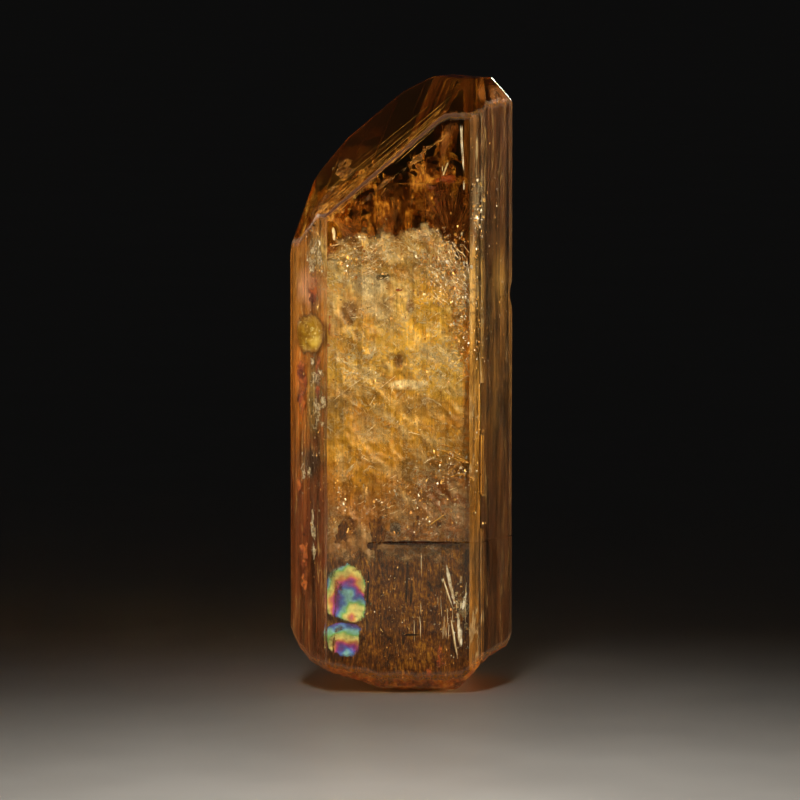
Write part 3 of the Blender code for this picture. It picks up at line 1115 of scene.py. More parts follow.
def band_material(name, stops, zones, contrast, clear, wisps):
    """Growth layers under a side face: fine upright lines, tinted by height and by zones."""
    n = Nodes(name)
    lines = n.noise(1.0, 5.0, 0.70, (4600.0, 4600.0, 40.0))
    broad = n.noise(1.0, 4.0, 0.60, (900.0, 900.0, 50.0))
    patch = n.noise(520.0, 6.0, 0.65, (1.0, 1.0, 0.22), 0.6)
    ragged = n.times(n.minus(patch, 0.5), 0.020)
    colour = n.ramp(n.value(n.plus(n.height(), ragged), 0.0, 0.054, 0.0, 1.0), stops)
    for centre, reach, zone in zones:
        colour = n.mix(n.near(centre, reach), colour, zone)
    grain = n.noise(2600.0, 5.0, 0.70, (1.0, 1.0, 0.35))
    tone = n.blend((lines, 0.40), (broad, 0.22), (patch, 0.22), (grain, 0.16))
    reach = 0.10 / (0.5 + contrast)
    bright = n.value(tone, 0.505 - reach, 0.505 + reach, 1.0 - contrast, 1.0 + 1.5 * contrast)
    colour = n.scaled(colour, bright)
    hair = n.ridges(n.noise(700.0, 4.0, 0.6, (1.0, 1.0, 0.12), 0.6), 0.010)
    colour = n.mix(n.times(hair, 0.7), colour, BAND_HAIR)
    wisp = n.ridges(n.noise(900.0, 4.0, 0.60, (1.0, 1.0, 0.10), 0.5), 0.022)
    wisp = n.times(wisp, n.value(patch, 0.48, 0.62, 0.0, 0.80))
    n.set(
        Base_Color=n.mix(wisp, colour, wisps),
        Roughness=n.value(lines, 0.3, 0.7, 0.25, 0.55),
        Specular_IOR_Level=0.25,
        Alpha=n.value(n.blend((patch, 0.6), (broad, 0.4)), 0.40, 0.50, clear, 1.0),
    )
    n.bump(n.plus(tone, n.times(wisp, 0.2)), 1.0, 0.0007)
    return n.material


def build_side_veils():
    """Growth layers under the striated side faces, and dark streaked sheets before the back ones that are
    painted shade.
    """
    stops = (
        (0.05, (0.15, 0.036, 0.002)),
        (0.30, (0.120, 0.026, 0.002)),
        (0.44, (0.21, 0.066, 0.004)),
        (0.56, (0.31, 0.115, 0.010)),
        (0.74, (0.27, 0.110, 0.012)),
    )
    left = band_material("left_bands", stops, (
        ((-8.8, -3.4, 27.2), (1.0, 2.4, 3.4), (0.42, 0.13, 0.010)),
        ((-7.6, -5.2, 26.0), (0.8, 1.6, 3.4), (0.46, 0.28, 0.070)),
        ((-7.9, -4.9, 35.6), (1.6, 2.6, 1.7), (0.50, 0.25, 0.13)),
        ((-7.2, -5.8, 38.8), (1.4, 1.6, 1.8), (0.42, 0.30, 0.10)),
        ((-8.0, -4.6, 20.4), (1.6, 2.6, 1.3), (0.07, 0.030, 0.012)),
    ), 0.65, 0.55, (0.80, 0.52, 0.20))
    stops = (
        (0.06, (0.26, 0.105, 0.014)),
        (0.35, (0.28, 0.120, 0.014)),
        (0.55, (0.40, 0.210, 0.040)),
        (0.70, (0.48, 0.290, 0.085)),
        (0.76, (0.15, 0.065, 0.017)),
        (0.92, (0.13, 0.058, 0.015)),
    )
    strip = band_material("strip_bands", stops, (
        ((6.8, -6.2, 43.2), (0.7, 1.2, 2.6), (0.42, 0.33, 0.19)),
        ((6.7, -6.2, 12.0), (0.7, 1.2, 3.0), (0.16, 0.075, 0.020)),
    ), 0.70, 0.55, (0.95, 0.76, 0.44))
    # The right bands are the same material in far darker tones: painted shade on the right side, against the
    # right lamp's light.
    stops = (
        (0.06, (0.045, 0.013, 0.001)),
        (0.30, (0.040, 0.012, 0.001)),
        (0.46, (0.062, 0.024, 0.003)),
        (0.62, (0.085, 0.036, 0.005)),
        (0.76, (0.040, 0.013, 0.001)),
        (0.92, (0.040, 0.012, 0.001)),
    )
    right = band_material("right_bands_painted_shade", stops, (
        ((8.6, -3.8, 36.0), (1.0, 2.0, 2.6), (0.13, 0.066, 0.012)),
        ((8.2, -4.6, 26.0), (0.5, 1.2, 6.0), (0.13, 0.058, 0.008)),
    ), 0.98, 0.80, (0.50, 0.32, 0.12))
    for name, material, sides in (
        ("left_veil", left, ((1, -1, 0), (1, -2, 0), (0, -1, 0))),
        ("strip_veil", strip, ((1, 2, 0),)),
        ("right_veil", right, ((0, 1, 0), (-1, 2, 0), (-1, 1, 0))),
    ):
        verts, faces = joined([face_veil(index, 1.0, 53.0, 0.42) for index in sides])
        link(name, *keep_inside(verts, faces, 0.3), material, smooth=False)
    # The sheets behind the cloud are near black: painted shade for the dark seen through the back of the
    # crystal.
    tones = ((0.012, 0.005, 0.001), (0.05, 0.021, 0.005), (0.125, 0.055, 0.011), (0.34, 0.18, 0.05))
    back = streaked_material("back_painted_shade", tones, 0.0, 0.9, (2600.0, 2600.0, 130.0))
    verts, faces = veil_skin(0.86, 1.2, 50.0, 0.03, -0.1, 10, 220, 0.22)
    behind = [f for f in faces if verts[f[0]][1] > 1.5 and abs(verts[f[0]][0]) < 7.2]
    link("back_shade_veils", *keep_inside(verts, behind, 0.4), back, smooth=False)


def build_low_veils():
    """Granular brown topaz below the cleavage crack, darkened partly as painted shade under the crack, with
    dark and pale upright streaks.
    """
    # These tones are dark partly as painted shade below the crack, and partly the brown of the topaz there.
    tones = ((0.022, 0.004, 0.0), (0.105, 0.020, 0.0), (0.24, 0.066, 0.001), (0.66, 0.30, 0.04))
    grain = streaked_material("low_brown_and_shade", tones, 0.6, 1.0, (3600.0, 3600.0, 2200.0), 0.6)
    verts, faces = veil_skin(0.72, -1.0, 16.5, 0.06, -0.4, 8)
    link("low_veils", *keep_inside(verts, faces, 0.5), grain)
    tones = ((0.060, 0.014, 0.0), (0.140, 0.040, 0.0), (0.215, 0.072, 0.0), (0.42, 0.190, 0.012))
    front = streaked_material("low_front", tones, 0.85, 1.0, (5200.0, 5200.0, 1300.0), 0.75)
    link("low_front", *keep_inside(*front_sheet(-0.4, 17.0, 1.3, 0.6, 0.13, 6), 0.4), front)


def build_foot_veil():
    """The healed skin just over the break, which gives the rough end its colour."""
    tones = ((0.26, 0.060, 0.001), (0.70, 0.20, 0.004), (0.95, 0.36, 0.015), (1.0, 0.62, 0.12))
    rust = streaked_material("foot_rust", tones, 0.5, 1.0, (1500.0, 1500.0, 1500.0))
    verts, faces = sheet((0.0, 0.0, 0.0), ACROSS, INWARD, FOOT_VEIL_SIZE, 71, 0.0, 0.0, 8.0, 0.0)
    for vert in verts:
        ripple = noise.noise((vert[0], vert[1], 0.0))
        vert[2] = break_height(vert[0] - SHIFT[0], vert[1] - SHIFT[1]) + FOOT_VEIL_LIFT + 0.25 * ripple
    verts[:, 3] = 1.0
    inside = [f for f in faces if verts[f[0]][2] < 6.5]
    link("foot_veil", *keep_inside(verts, inside, 0.30), rust, smooth=False)


def front_sheets(rows, across, up, *looks):
    """Sheets of one look, by x, height and depth in the front view, width, length and seed."""
    return [
        sheet(front_point(x, height, depth), across, up, (wide, tall), seed, *looks)
        for x, height, depth, wide, tall, seed in rows
    ]


def left_sheets(rows, depth, up, *looks):
    """Sheets of one look under the left face, by x and height in the front view, width, length and seed."""
    return [
        sheet(face_point(LEFT, x, height, depth), left_along(), up, (wide, tall), seed, *looks)
        for x, height, wide, tall, seed in rows
    ]


def frost_material():
    """Fine silvery grain that glitters, with gaps between the grains."""
    n = Nodes("frost_grain")
    grain = n.noise(3600.0, 4.0, 0.7)
    tones = ((0.40, (0.45, 0.32, 0.15)), (0.55, (0.92, 0.82, 0.58)), (0.66, (1.0, 0.99, 0.94)))
    cover = n.noise(1800.0, 6.0, 0.7, (1.0, 1.0, 0.6), 0.6)
    n.set(
        Base_Color=n.ramp(grain, tones),
        Roughness=n.value(grain, 0.35, 0.65, 0.2, 0.45),
        Metallic=0.35,
        Alpha=n.fading(n.value(cover, 0.47, 0.53, 0.0, 1.0), 0.8),
    )
    n.bump(grain, 1.0, 0.0006)
    return n.material


def build_frost():
    """Silvery arc at the top right of the cloud, its left counterpart, and patches lower down."""
    parts = []
    for x, height, depth, up, wide, tall, seed in (
        (3.0, 38.2, 1.3, (-0.9, 0.0, 0.55), 2.4, 4.4, 101),
        (4.9, 35.9, 1.3, (-0.45, 0.0, 1.0), 2.4, 5.6, 102),
        (5.9, 32.4, 1.4, (-0.1, 0.0, 1.0), 1.6, 5.4, 103),
        (-3.0, 36.0, 1.5, (0.3, 0.0, 1.0), 4.6, 3.4, 104),
        (-6.2, 17.2, 1.3, UPRIGHT, 1.2, 4.6, 107),
        (5.6, 6.4, 1.3, (-0.12, 0.0, 1.0), 1.9, 5.6, 108),
        (-0.6, 26.4, 1.6, (-0.9, 0.0, 0.5), 1.6, 4.0, 109),
        (2.2, 27.4, 1.5, (-0.7, 0.0, 0.5), 1.4, 3.6, 110),
    ):
        across = (up[2], 0.15, -up[0])
        parts += front_sheets(((x, height, depth, wide, tall, seed),), across, up, 0.25, 0.0, 11.0, 0.7)
    parts += left_sheets((
        (-7.4, 26.4, 2.2, 7.0, 111),
        (-7.6, 38.6, 2.6, 3.0, 112),
        (-8.4, 19.4, 2.0, 2.0, 113),
        (-7.8, 14.0, 0.7, 7.0, 114),
    ), 0.25, UPRIGHT, 0.03, 0.0, 11.0, 0.8)
    link("frost_patches", *keep_inside(*joined(parts), 0.15), frost_material(), smooth=False)


def build_flakes():
    """Silver and amber glitter where the photo shows sparks, and a fine dust of it all through."""
    rng = np.random.default_rng(SEED)
    silver = flake_material("flake_silver", (0.70, 0.56, 0.34), (1.0, 0.97, 0.88), 0.7, 0.25)
    amber = flake_material("flake_amber", (0.45, 0.16, 0.02), (0.95, 0.64, 0.22), 0.4, 0.30)
    upright = (1.0, 1.0, 0.25)
    bright = []
    warm = []
    for index, middle, reach, depth, size, count in (
        (FRONT_FACE, (-0.4, 27.0), (6.4, 13.0), 0.80, 0.040, 420),
        (FRONT_FACE, (3.8, 37.6), (2.6, 3.2), 0.80, 0.055, 420),
        (FRONT_FACE, (5.2, 33.6), (1.0, 4.0), 0.70, 0.060, 160),
        (FRONT_FACE, (-3.0, 38.2), (3.2, 2.0), 0.80, 0.055, 160),
        (FRONT_FACE, (-5.4, 17.6), (1.4, 3.4), 0.70, 0.045, 70),
        (FRONT_FACE, (0.6, 16.8), (6.0, 3.0), 0.80, 0.050, 170),
        (FRONT_FACE, (4.8, 6.4), (1.8, 5.0), 0.70, 0.040, 60),
        (FRONT_FACE, (-0.6, 7.4), (4.0, 5.0), 0.70, 0.028, 150),
        (FRONT_FACE, (4.6, 20.2), (2.2, 1.6), 0.70, 0.065, 90),
        (STRIP, (6.7, 42.4), (0.5, 3.6), 0.25, 0.060, 50),
        (STRIP, (6.7, 30.0), (0.6, 16.0), 0.25, 0.045, 90),
        (LEFT, (-7.8, 27.0), (1.4, 14.0), 0.28, 0.050, 130),
        (LEFT, (-7.3, 37.6), (1.3, 3.0), 0.28, 0.060, 70),
        (RIGHT, (8.4, 34.0), (1.2, 13.0), 0.30, 0.040, 110),
    ):
        bright += glitter(rng, count, index, middle, reach, depth, size)
        warm += glitter(rng, count, index, middle, reach, 1.2 * depth, 1.2 * size)
    warm += scatter(rng, 18, (1.0, -2.0, 43.0), (3.0, 2.0, 2.0), 0.09, 2.6, upright)
    bright += scatter(rng, 500, (0.0, 1.0, 27.0), (4.4, 3.6, 8.0), 0.085, 1.3, upright)
    link("silver_flakes", *joined(inside_only(bright, 0.08)), silver, smooth=False)
    link("amber_flakes", *joined(inside_only(warm, 0.08)), amber, smooth=False)


def build_tubes(rng):
    """Growth tubes that run with the prism, and short threads that wander in front of the cloud."""
    pale = flake_material("tube_pale", (0.85, 0.66, 0.36), (1.0, 0.96, 0.82), 0.0, 0.35)
    made = []
    for count, middle, spread, way, length, width, fan in (
        (150, (0.0, -2.4, 26.0), (6.6, 2.8, 12.0), UPRIGHT, 2.6, 0.018, 0.02),
        (90, (6.9, -2.6, 29.0), (0.7, 2.2, 9.0), UPRIGHT, 3.4, 0.022, 0.02),
        (14, (3.2, -5.8, 8.4), (2.4, 0.3, 3.8), UPRIGHT, 1.3, 0.022, 0.05),
        (9, (5.0, -5.9, 6.8), (1.0, 0.2, 2.6), (-0.12, 0.0, 1.0), 1.5, 0.060, 0.14),
    ):
        made += splinters(rng, count, middle, spread, way, length, width, fan)
    for x, height, spread_x, spread_h, lean, length, wave, count in (
        (-3.7, 27.9, 1.0, 0.5, 0.66, 5.6, 0.30, 6),
        (-3.4, 25.4, 2.8, 2.2, 0.66, 1.6, 1.20, 22),
        (2.4, 24.0, 2.0, 2.2, 0.00, 2.6, 2.40, 14),
        (3.0, 29.2, 2.6, 2.0, 0.35, 1.6, 2.00, 34),
        (-0.6, 32.6, 4.4, 2.6, 0.45, 1.2, 1.60, 40),
        (4.4, 37.0, 1.6, 2.4, -0.95, 0.9, 0.80, 70),
        (-3.4, 38.0, 2.6, 1.6, 0.30, 0.8, 1.20, 50),
        (0.4, 18.4, 5.0, 2.6, 0.50, 0.7, 1.40, 54),
    ):
        for _ in range(count):
            at = (x + spread_x * rng.uniform(-1.0, 1.0), height + spread_h * rng.uniform(-1.0, 1.0))
            turn = lean + rng.normal(0.0, 0.30 if length < LONG_THREAD else 0.05)
            way = (math.cos(turn), 0.0, math.sin(turn))
            centre = front_point(*at, rng.uniform(0.5, 0.8))
            made += splinters(rng, 1, centre, NO_SPREAD, way, length, 0.026, 0.0, wave, 30)
    link("growth_tubes", *joined(inside_only(made, 0.2)), pale)


def build_slivers(rng):
    """Bright slivers that lie along the slope, and a few gold splinters low in the cloud."""
    gold = flake_material("sliver_gold", (0.30, 0.12, 0.012), (0.72, 0.42, 0.09), 0.4, 0.28)
    _, along, back = slope_frame()
    made = []
    for x, height, spread_x, spread_h, count, length in (
        (-1.6, 46.6, 4.0, 0.7, 44, 4.2),
        (-3.2, 46.6, 3.4, 1.4, 20, 5.0),
        (1.8, 49.6, 2.4, 1.3, 22, 3.4),
        (-6.2, 43.2, 1.6, 1.0, 16, 2.4),
    ):
        for _ in range(count):
            t = rng.uniform(-1.0, 1.0)
            at = (x + spread_x * t, height + 0.80 * spread_x * t + spread_h * rng.uniform(-1.0, 1.0))
            centre = face_point(SLOPE, *at, rng.uniform(0.25, 0.7))
            way = along + back * rng.normal(0.04, 0.05)
            made += splinters(rng, 1, centre, NO_SPREAD, way, length, 0.020, 0.01)
    for x, height, lean, length, wide in (
        (5.6, 20.5, -0.35, 2.4, 0.17),
        (4.9, 20.9, -0.42, 2.0, 0.10),
        (4.2, 21.2, -0.55, 2.2, 0.08),
        (3.9, 21.9, -0.20, 1.4, 0.07),
        (5.1, 19.4, 0.25, 1.8, 0.08),
        (3.1, 15.4, 0.70, 2.0, 0.06),
        (4.7, 17.2, 0.30, 1.0, 0.12),
    ):
        centre = front_point(x, height, 0.6)
        made += splinters(rng, 1, centre, NO_SPREAD, (1.0, 0.0, lean), length, wide)
    link("slope_slivers", *joined(inside_only(made, 0.12)), gold)


def build_feathers():
    """Healed fractures under the slope: smooth amber ones, with clear dark topaz left between."""
    facing, along, back = slope_frame()
    tones = ((0.05, 0.018, 0.004), (0.17, 0.07, 0.012), (0.34, 0.155, 0.03), (0.66, 0.36, 0.09))
    amber = streaked_material("feather_amber", tones, 0.0, 0.92, (500.0, 500.0, 500.0))
    parts = []
    for x, height, depth, wide, tall, seed in (
        (-7.2, 43.0, 0.9, 4.6, 3.6, 61),
        (-5.2, 46.6, 1.1, 2.0, 5.0, 62),
        (-2.4, 45.2, 1.4, 6.5, 2.2, 63),
        (1.2, 48.6, 1.6, 6.0, 1.2, 64),
    ):
        centre = face_point(SLOPE, x, height, depth)
        parts.append(sheet(centre, along, back + 0.12 * facing, (wide, tall), seed, 0.22, 0.1, 10.0, 0.45))
    link("slope_feathers", *keep_inside(*joined(parts), 0.25), amber)
    tones = ((0.05, 0.014, 0.0), (0.12, 0.036, 0.001), (0.19, 0.066, 0.002), (0.40, 0.17, 0.01))
    smooth = streaked_material("tip_amber", tones, 0.85, 1.0, (400.0, 400.0, 120.0))
    across, up = (0.6, 0.8, 0.0), (-0.35, 0.0, 1.0)
    verts, faces = sheet((7.8, -1.4, 50.9), across, up, (3.8, 4.4), 66, 0.1, -0.9, 10.0, 0.1)
    link("tip_feather", *keep_inside(verts, faces, 0.25), smooth)


def build_fractures():
    """Single fractures, each placed by where the front view shows it."""
    tones = ((0.04, 0.010, 0.001), (0.13, 0.038, 0.004), (0.30, 0.105, 0.012), (0.72, 0.42, 0.11))
    amber = streaked_material("fracture_amber", tones, 0.1, 0.9, (1500.0, 1500.0, 260.0), 0.55)
    silver = flake_material("fracture_silver", (0.62, 0.50, 0.32), (1.0, 0.97, 0.86), 0.1, 0.20, True)
    warm = []
    for at, across, up, size, seed, crumple, holes, grain, ragged in (
        ((2.9, 44.9, 2.6), ACROSS, (0.0, 1.0, 0.05), (7.8, 1.2), 11, 0.05, -0.3, 12.0, 0.3),
        ((4.4, 42.6, 3.4), (0.8, 0.6, 0.0), (0.10, 0.0, 1.0), (4.6, 6.0), 14, 0.30, -0.2, 10.0, 0.9),
        ((0.8, 42.2, 4.2), (1.0, 0.1, 0.0), (0.0, 0.15, 1.0), (12.0, 7.6), 17, 0.40, -0.4, 8.0, 0.4),
        ((3.2, 44.8, 3.2), (1.0, -0.2, 0.0), (-0.25, 0.1, 1.0), (5.4, 7.0), 18, 0.40, -0.2, 8.0, 0.7),
        ((5.2, 38.2, 2.0), (1.0, 0.2, 0.0), (-0.2, 0.1, 1.0), (3.2, 7.0), 19, 0.25, -0.5, 10.0, 0.4),
        ((3.9, 48.2, 3.0), (0.8, 0.6, 0.0), (0.15, 0.0, 1.0), (2.4, 4.2), 12, 0.20, -0.2, 12.0, 0.6),
        ((-4.4, 40.8, 2.4), (0.9, 0.4, 0.0), (-0.45, 0.0, 1.0), (2.8, 4.0), 15, 0.20, -0.2, 12.0, 0.6),
    ):
        warm.append(sheet(front_point(*at), across, up, size, seed, crumple, holes, grain, ragged))
    straight = (0.01, -0.9, 24.0, 0.05)
    torn = (0.10, 0.05, 22.0, 0.4)
    bright = []
    for at, across, up, size, seed, looks in (
        ((5.30, 47.9, 0.9), (1.0, 0.3, 0.0), (-0.07, 0.0, 1.0), (0.22, 4.8), 21, straight),
        ((5.45, 44.7, 0.9), (1.0, 0.3, 0.0), UPRIGHT, (0.18, 1.0), 22, straight),
        ((3.7, 45.8, 2.2), (1.0, 0.4, -0.2), (0.42, 0.0, 1.0), (0.22, 2.4), 23, torn),
        ((-5.9, 40.5, 1.4), (1.0, 0.5, 0.0), (-0.1, 0.0, 1.0), (0.35, 1.4), 24, torn),
        ((4.3, 9.8, 0.7), (0.9, 0.2, 0.0), (-0.20, 0.0, 1.0), (0.34, 3.8), 30, torn),
        ((5.1, 5.8, 0.7), (0.9, 0.2, 0.0), (-0.10, 0.0, 1.0), (0.36, 3.4), 31, torn),
        ((5.5, 8.2, 0.7), (0.9, 0.2, 0.0), (0.25, 0.0, 1.0), (0.30, 2.0), 32, torn),
    ):
        bright.append(sheet(front_point(*at), across, up, size, seed, *looks))
    link("amber_fractures", *keep_inside(*joined(warm), 0.08), amber, smooth=False)
    link("silver_fractures", *keep_inside(*joined(bright), 0.08), silver)


def build_fans():
    """Fans of fine iron-stained slivers in the clear part, each spreading from one point."""
    rng = np.random.default_rng(SEED + 9)
    rust = flake_material("sliver_rust", (0.07, 0.016, 0.002), (0.34, 0.12, 0.022), 0.1, 0.4)
    made = []
    for x, height, depth, lean, half, count, length in (
        (4.3, 39.8, 2.6, 100.0, 34.0, 220, 4.8),
        (4.6, 40.0, 2.2, 60.0, 16.0, 80, 3.4),
        (3.5, 46.6, 2.2, 78.0, 9.0, 40, 3.4),
        (2.2, 45.2, 2.4, 120.0, 8.0, 20, 2.0),
        (-5.6, 41.6, 1.5, -48.0, 15.0, 60, 3.4),
        (-1.0, 40.2, 2.4, 96.0, 24.0, 40, 2.6),
    ):
        apex = front_point(x, height, depth)
        for _ in range(count):
            turn = math.radians(lean + half * rng.uniform(-1.0, 1.0))
            reach = length * rng.uniform(0.35, 1.1)
            way = np.array((math.cos(turn), rng.normal(0.0, 0.12), math.sin(turn)))
            centre = apex + way * (0.5 * reach + rng.uniform(0.0, 0.25) * length) + rng.normal(0.0, 0.10, 3)
            made += splinters(rng, 1, centre, NO_SPREAD, way, 0.7 * reach, 0.012, 0.0)
    link("rust_fans", *joined(inside_only(made, 0.12)), rust)


def honey_material():
    """Clear honey yellow with pale folds that are painted highlights, and a dark rust rim."""
    n = Nodes("honey_yellow")
    wrinkle = n.noise(420.0, 3.0, 0.5, (1.0, 1.0, 1.6), 1.2)
    tones = ((0.34, (0.26, 0.13, 0.006)), (0.50, (0.44, 0.27, 0.012)), (0.66, (0.60, 0.43, 0.04)))
    # The pale fold lines are painted highlights on the crinkled feather.
    fold = n.ridges(n.noise(520.0, 2.0, 0.5, (1.0, 1.0, 1.4), 1.4), 0.010)
    colour = n.mix(fold, n.ramp(wrinkle, tones), (1.0, 0.92, 0.50))
    rim = n.value(n.attribute("fade"), 0.3, 1.1, 1.0, 0.0)
    n.set(
        Base_Color=n.mix(rim, colour, (0.16, 0.045, 0.003)),
        Roughness=n.value(wrinkle, 0.3, 0.7, 0.12, 0.4),
        Alpha=n.fading(n.value(wrinkle, 0.35, 0.45, 0.85, 1.0), 0.25),
    )
    n.bump(wrinkle, 0.5, 0.0001)
    return n.material


def build_honey():
    """Clear yellow feather under the left face."""
    place = (-8.1, 31.7, 5.4, 4.4, 81)
    verts, faces = left_sheets((place,), 0.28, UPRIGHT, 0.02, -0.5, 16.0, 0.10)[0]
    link("honey_feather", *keep_inside(verts, faces, 0.2), honey_material())


def crack_material():
    """Nearly black brown that hardly shines: painted shade for the cracks."""
    n = Nodes("crack_painted_shade")
    tone = n.noise(900.0, 4.0, 0.6)
    n.set(
        Base_Color=n.ramp(tone, ((0.40, (0.004, 0.001, 0.0)), (0.62, (0.040, 0.011, 0.003)))),
        Roughness=n.value(tone, 0.3, 0.7, 0.5, 0.7),
        Specular_IOR_Level=0.05,
        Alpha=n.fading(n.value(tone, 0.35, 0.45, 0.85, 1.0), 0.2),
    )
    return n.material


def build_crack():
    """The cleavage crack right through the lower part, its dark lip in front, and small cracks under it, all
    in painted shade.
    """
    parts = [sheet((2.9, -4.2, CRACK_Z), ACROSS, (0.0, 1.0, 0.02), (13.0, 5.4), 21, 0.05, 0.0, 9.0, 0.12)]
    parts += front_sheets((
        (1.55, 13.42, 0.14, 9.4, 0.46, 23),
        (-2.7, 13.20, 0.14, 0.8, 0.75, 52),
        (-2.9, 9.4, 0.6, 0.22, 4.2, 25),
        (0.5, 10.0, 0.7, 0.26, 4.6, 26),
        (0.9, 9.0, 0.8, 0.20, 3.4, 27),
        (0.2, 5.0, 0.6, 0.30, 1.6, 28),
        (3.6, 10.8, 0.8, 0.20, 3.4, 29),
        (0.9, 5.3, 0.6, 1.9, 0.22, 30),
    ), ACROSS, (0.04, 0.05, 1.0), 0.03, -0.5, 14.0, 0.25)
    link("cleavage_crack", *keep_inside(*joined(parts), 0.03), crack_material())


def build_stains():
    """Iron stains before the cloud, in the clear top and the foot, and under the left face."""
    parts = front_sheets((
        (-0.1, 35.6, 1.2, 0.7, 0.3, 31),
        (-4.9, 34.0, 1.4, 0.9, 0.5, 32),
        (-4.5, 32.4, 1.4, 0.5, 0.5, 33),
        (-2.0, 35.2, 1.4, 0.8, 0.25, 43),
        (4.4, 16.0, 1.8, 1.1, 1.0, 34),
        (1.2, 14.4, 1.2, 2.0, 0.9, 35),
        (3.6, 3.4, 1.2, 1.0, 2.4, 36),
        (2.4, 2.0, 1.2, 0.7, 1.4, 44),
        (4.0, 45.3, 2.2, 2.4, 0.9, 37),
        (2.9, 44.4, 2.4, 2.2, 1.2, 51),
        (-2.0, 22.4, 2.4, 0.8, 1.2, 38),
        (6.4, 28.0, 1.6, 0.45, 10.0, 39),
        (3.2, 43.2, 2.8, 1.8, 2.4, 40),
        (0.9, 5.3, 1.0, 1.6, 0.22, 41),
        (-6.2, 32.6, 1.2, 0.3, 4.0, 42),
    ), (1.0, 0.3, 0.0), (0.05, 0.1, 1.0), 0.1, 0.05, 18.0, 0.5)
    parts += left_sheets((
        (-8.8, 27.4, 1.6, 6.0, 45),
        (-7.4, 28.0, 0.7, 5.0, 48),
        (-8.6, 12.0, 1.6, 8.0, 46),
        (-7.8, 35.4, 1.6, 2.4, 47),
        (-9.0, 18.6, 1.0, 1.4, 49),
    ), 0.26, (0.05, 0.0, 1.0), 0.03, 0.0, 14.0, 0.6)
    link("iron_stains", *keep_inside(*joined(parts), 0.1), stain_material())


def rainbow_piece(centre, half_wide, low, straight, high, seed, rings, heart):
    """An arch-topped flap of an open fracture. Its gap grows from the rim towards the heart."""
    grain = 15.0
    wide = int(2 * half_wide * grain)
    tall = int((high - low) * grain)
    verts = []
    gaps = []
    fades = []
    for j in range(tall + 1):
        for i in range(wide + 1):
            u = half_wide * (2.0 * i / wide - 1.0)
            v = low + (high - low) * j / tall
            q = Vector((u, v, seed * 3.1))
            out = 0.12 * noise.noise(q * 0.8) + 0.04 * noise.noise(q * 3.0)
            verts.append(np.array(centre) + np.array((u, 0.12 * v - 0.10 * u + out, v)))
            arch = max(0.0, (v - straight) / (high - straight))
            rim = math.hypot((u - 0.25 * arch) / half_wide, arch ** 1.2)
            base = 0.92 * max(0.0, (straight - v - 0.22 * u) / (straight - low))
            rim = (rim ** 3 + base ** 3) ** (1 / 3)
            rough = 0.10 * noise.noise(q * 0.7) + 0.06 * noise.noise(q * 2.4) + 0.05 * noise.noise(q * 7.0)
            split = abs(u + 0.42 * half_wide + 0.22 * noise.noise(q * 0.9)) < 0.05 and v < 0.45 * high
            away = math.hypot((u - heart[0]) / (1.35 * half_wide), (v - heart[1]) / (high - heart[1]))
            uneven = 0.5 + rings * (1.0 - away) + 0.50 * noise.noise(q * 0.5)
            gaps.append(uneven + 0.16 * noise.noise(q * 1.9))
            fades.append(0.0 if split else (0.93 - rim - rough) * 4.0)
    return shown(np.column_stack([verts, fades]), grid_faces(tall + 1, wide + 1)) + (np.array(gaps),)


def build_rainbow():
    """Two flaps of an open fracture at the lower left, one above the other."""
    upper = rainbow_piece(front_point(-4.90, 6.8, 0.55), 2.1, -0.4, 1.9, 5.2, 51, 1.8, (0.6, 0.2))
    lower = rainbow_piece(front_point(-5.15, 4.3, 0.55), 1.75, -0.9, 1.3, 2.2, 52, 1.3, (0.5, -0.9))
    verts, faces = joined([upper[:2], lower[:2]])
    piece = link("rainbow_fracture", verts, faces, rainbow_material())
    mark(piece.data, "gap", np.concatenate([upper[2], lower[2]]))


def lamp(name, turn, lift, size, power, colour, far, spread=30.0, aim=LAMP_AIM, lights=None):
    """A soft rectangular lamp, placed by its turn from the front to the right and its lift."""
    data = bpy.data.lights.new(name, "AREA")
    data.shape = "RECTANGLE"
    data.size = size[0]
    data.size_y = size[1]
    data.energy = power * LAMP_POWER
    data.color = colour
    data.spread = math.radians(spread)
    turn = math.radians(turn)
    lift = math.radians(lift)
    away = Vector((math.sin(turn) * math.cos(lift), -math.cos(turn) * math.cos(lift), math.sin(lift)))
    piece = bpy.data.objects.new(name, data)
    piece.location = Vector(aim) + far * away
    piece.rotation_euler = (-away).to_track_quat("-Z", "Y").to_euler()
    piece.visible_camera = False
    bpy.context.scene.collection.objects.link(piece)
    if lights is not None:
        piece.light_linking.receiver_collection = lights


def build_stage():
    """A plain pale floor in a dark room."""
    n = Nodes("floor_pale")
    grain = n.noise(60.0, 4.0, 0.5)
    n.set(
        Base_Color=n.ramp(grain, ((0.3, (0.66, 0.64, 0.61)), (0.7, (0.72, 0.70, 0.67)))),
        Roughness=n.value(grain, 0.3, 0.7, 0.40, 0.50),
    )
    corners = FLOOR_HALF * np.array(((-1, -1, 0), (1, -1, 0), (1, 1, 0), (-1, 1, 0)))
    floor = link("floor", corners, [(0, 1, 2, 3)], n.material, ride=False, smooth=False)
    world = bpy.data.worlds.new("studio")
    world.use_nodes = True
    background = world.node_tree.nodes["Background"]
    background.inputs["Color"].default_value = ROOM_COLOUR
    background.inputs["Strength"].default_value = 1.0
    bpy.context.scene.world = world


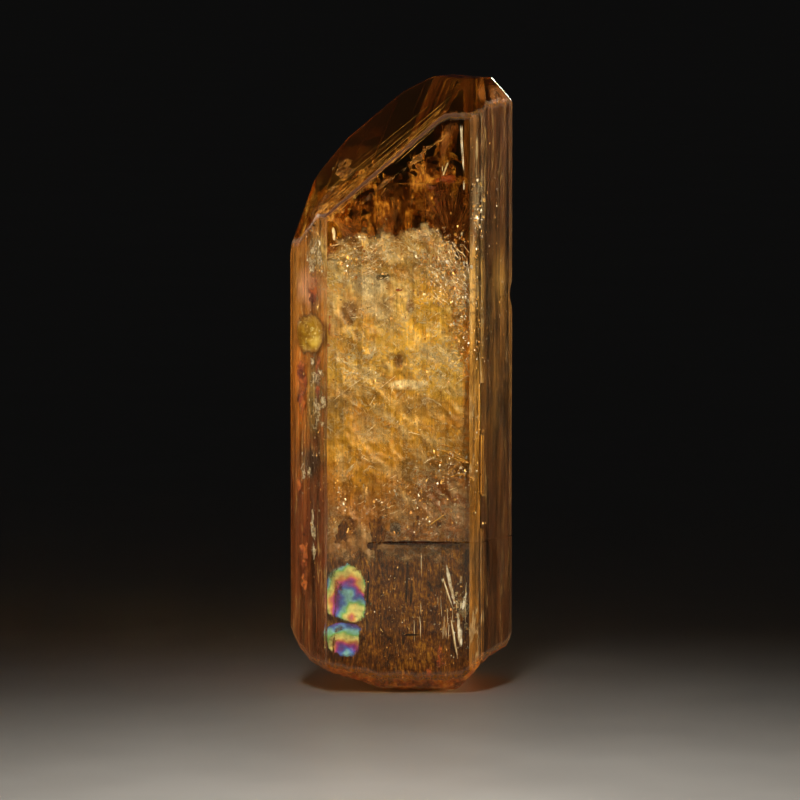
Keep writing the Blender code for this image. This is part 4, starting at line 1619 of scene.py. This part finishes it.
def build_lamps():
    """Five lamps for the crystal alone, and one for the floor before it."""
    stone = bpy.data.collections.new("stone")
    for piece in bpy.context.scene.objects:
        if piece.type == "MESH" and piece.name != "floor" and not piece.hide_render:
            stone.objects.link(piece)
    warm = (1.0, 0.94, 0.85)
    for name, turn, lift, size, power, colour, far in (
        ("key", 38.0, 34.0, (0.07, 0.08), 0.80, (1.0, 0.97, 0.92), 0.30),
        ("right", 82.0, 24.0, (0.05, 0.07), 0.50, warm, 0.27),
        ("left", -82.0, 20.0, (0.05, 0.07), 0.45, warm, 0.27),
        ("back_right", 152.0, 20.0, (0.06, 0.07), 0.55, warm, 0.27),
        ("back_left", -122.0, 15.0, (0.05, 0.06), 0.40, warm, 0.27),
    ):
        lamp(name, turn, lift, size, power, colour, far, lights=stone)
    lamp("floor_lamp", -12.0, 64.0, (0.06, 0.06), 0.90, warm, 0.34, 26.0, FLOOR_AIM)


def build_camera():
    """A long lens at the photo's angle, a little above level."""
    data = bpy.data.cameras.new("camera")
    data.sensor_width = 36.0
    data.lens = data.sensor_width * CAMERA_FAR / FRAME_WIDTH
    data.clip_start = 0.01
    data.clip_end = 20.0
    camera = bpy.data.objects.new("camera", data)
    camera.location = Vector(AIM) + CAMERA_FAR * Vector((0.0, -math.cos(VIEW_LIFT), math.sin(VIEW_LIFT)))
    camera.rotation_euler = (Vector(AIM) - camera.location).to_track_quat("-Z", "Y").to_euler()
    bpy.context.scene.collection.objects.link(camera)
    bpy.context.scene.camera = camera


def render_limits():
    """Enough bounces to see through the crystal, and plain display of the colours."""
    cycles = bpy.context.scene.cycles
    cycles.max_bounces = 18
    cycles.transmission_bounces = 18
    cycles.glossy_bounces = 8
    cycles.diffuse_bounces = 4
    cycles.transparent_max_bounces = 24
    bpy.context.scene.view_settings.view_transform = "Standard"


build_crystal()
build_cloud()
build_side_veils()
build_low_veils()
build_foot_veil()
build_frost()
build_flakes()
thread_draws = np.random.default_rng(SEED + 5)
build_tubes(thread_draws)
build_slivers(thread_draws)
build_feathers()
build_fractures()
build_fans()
build_honey()
build_crack()
build_stains()
build_rainbow()
build_stage()
build_lamps()
build_camera()
render_limits()
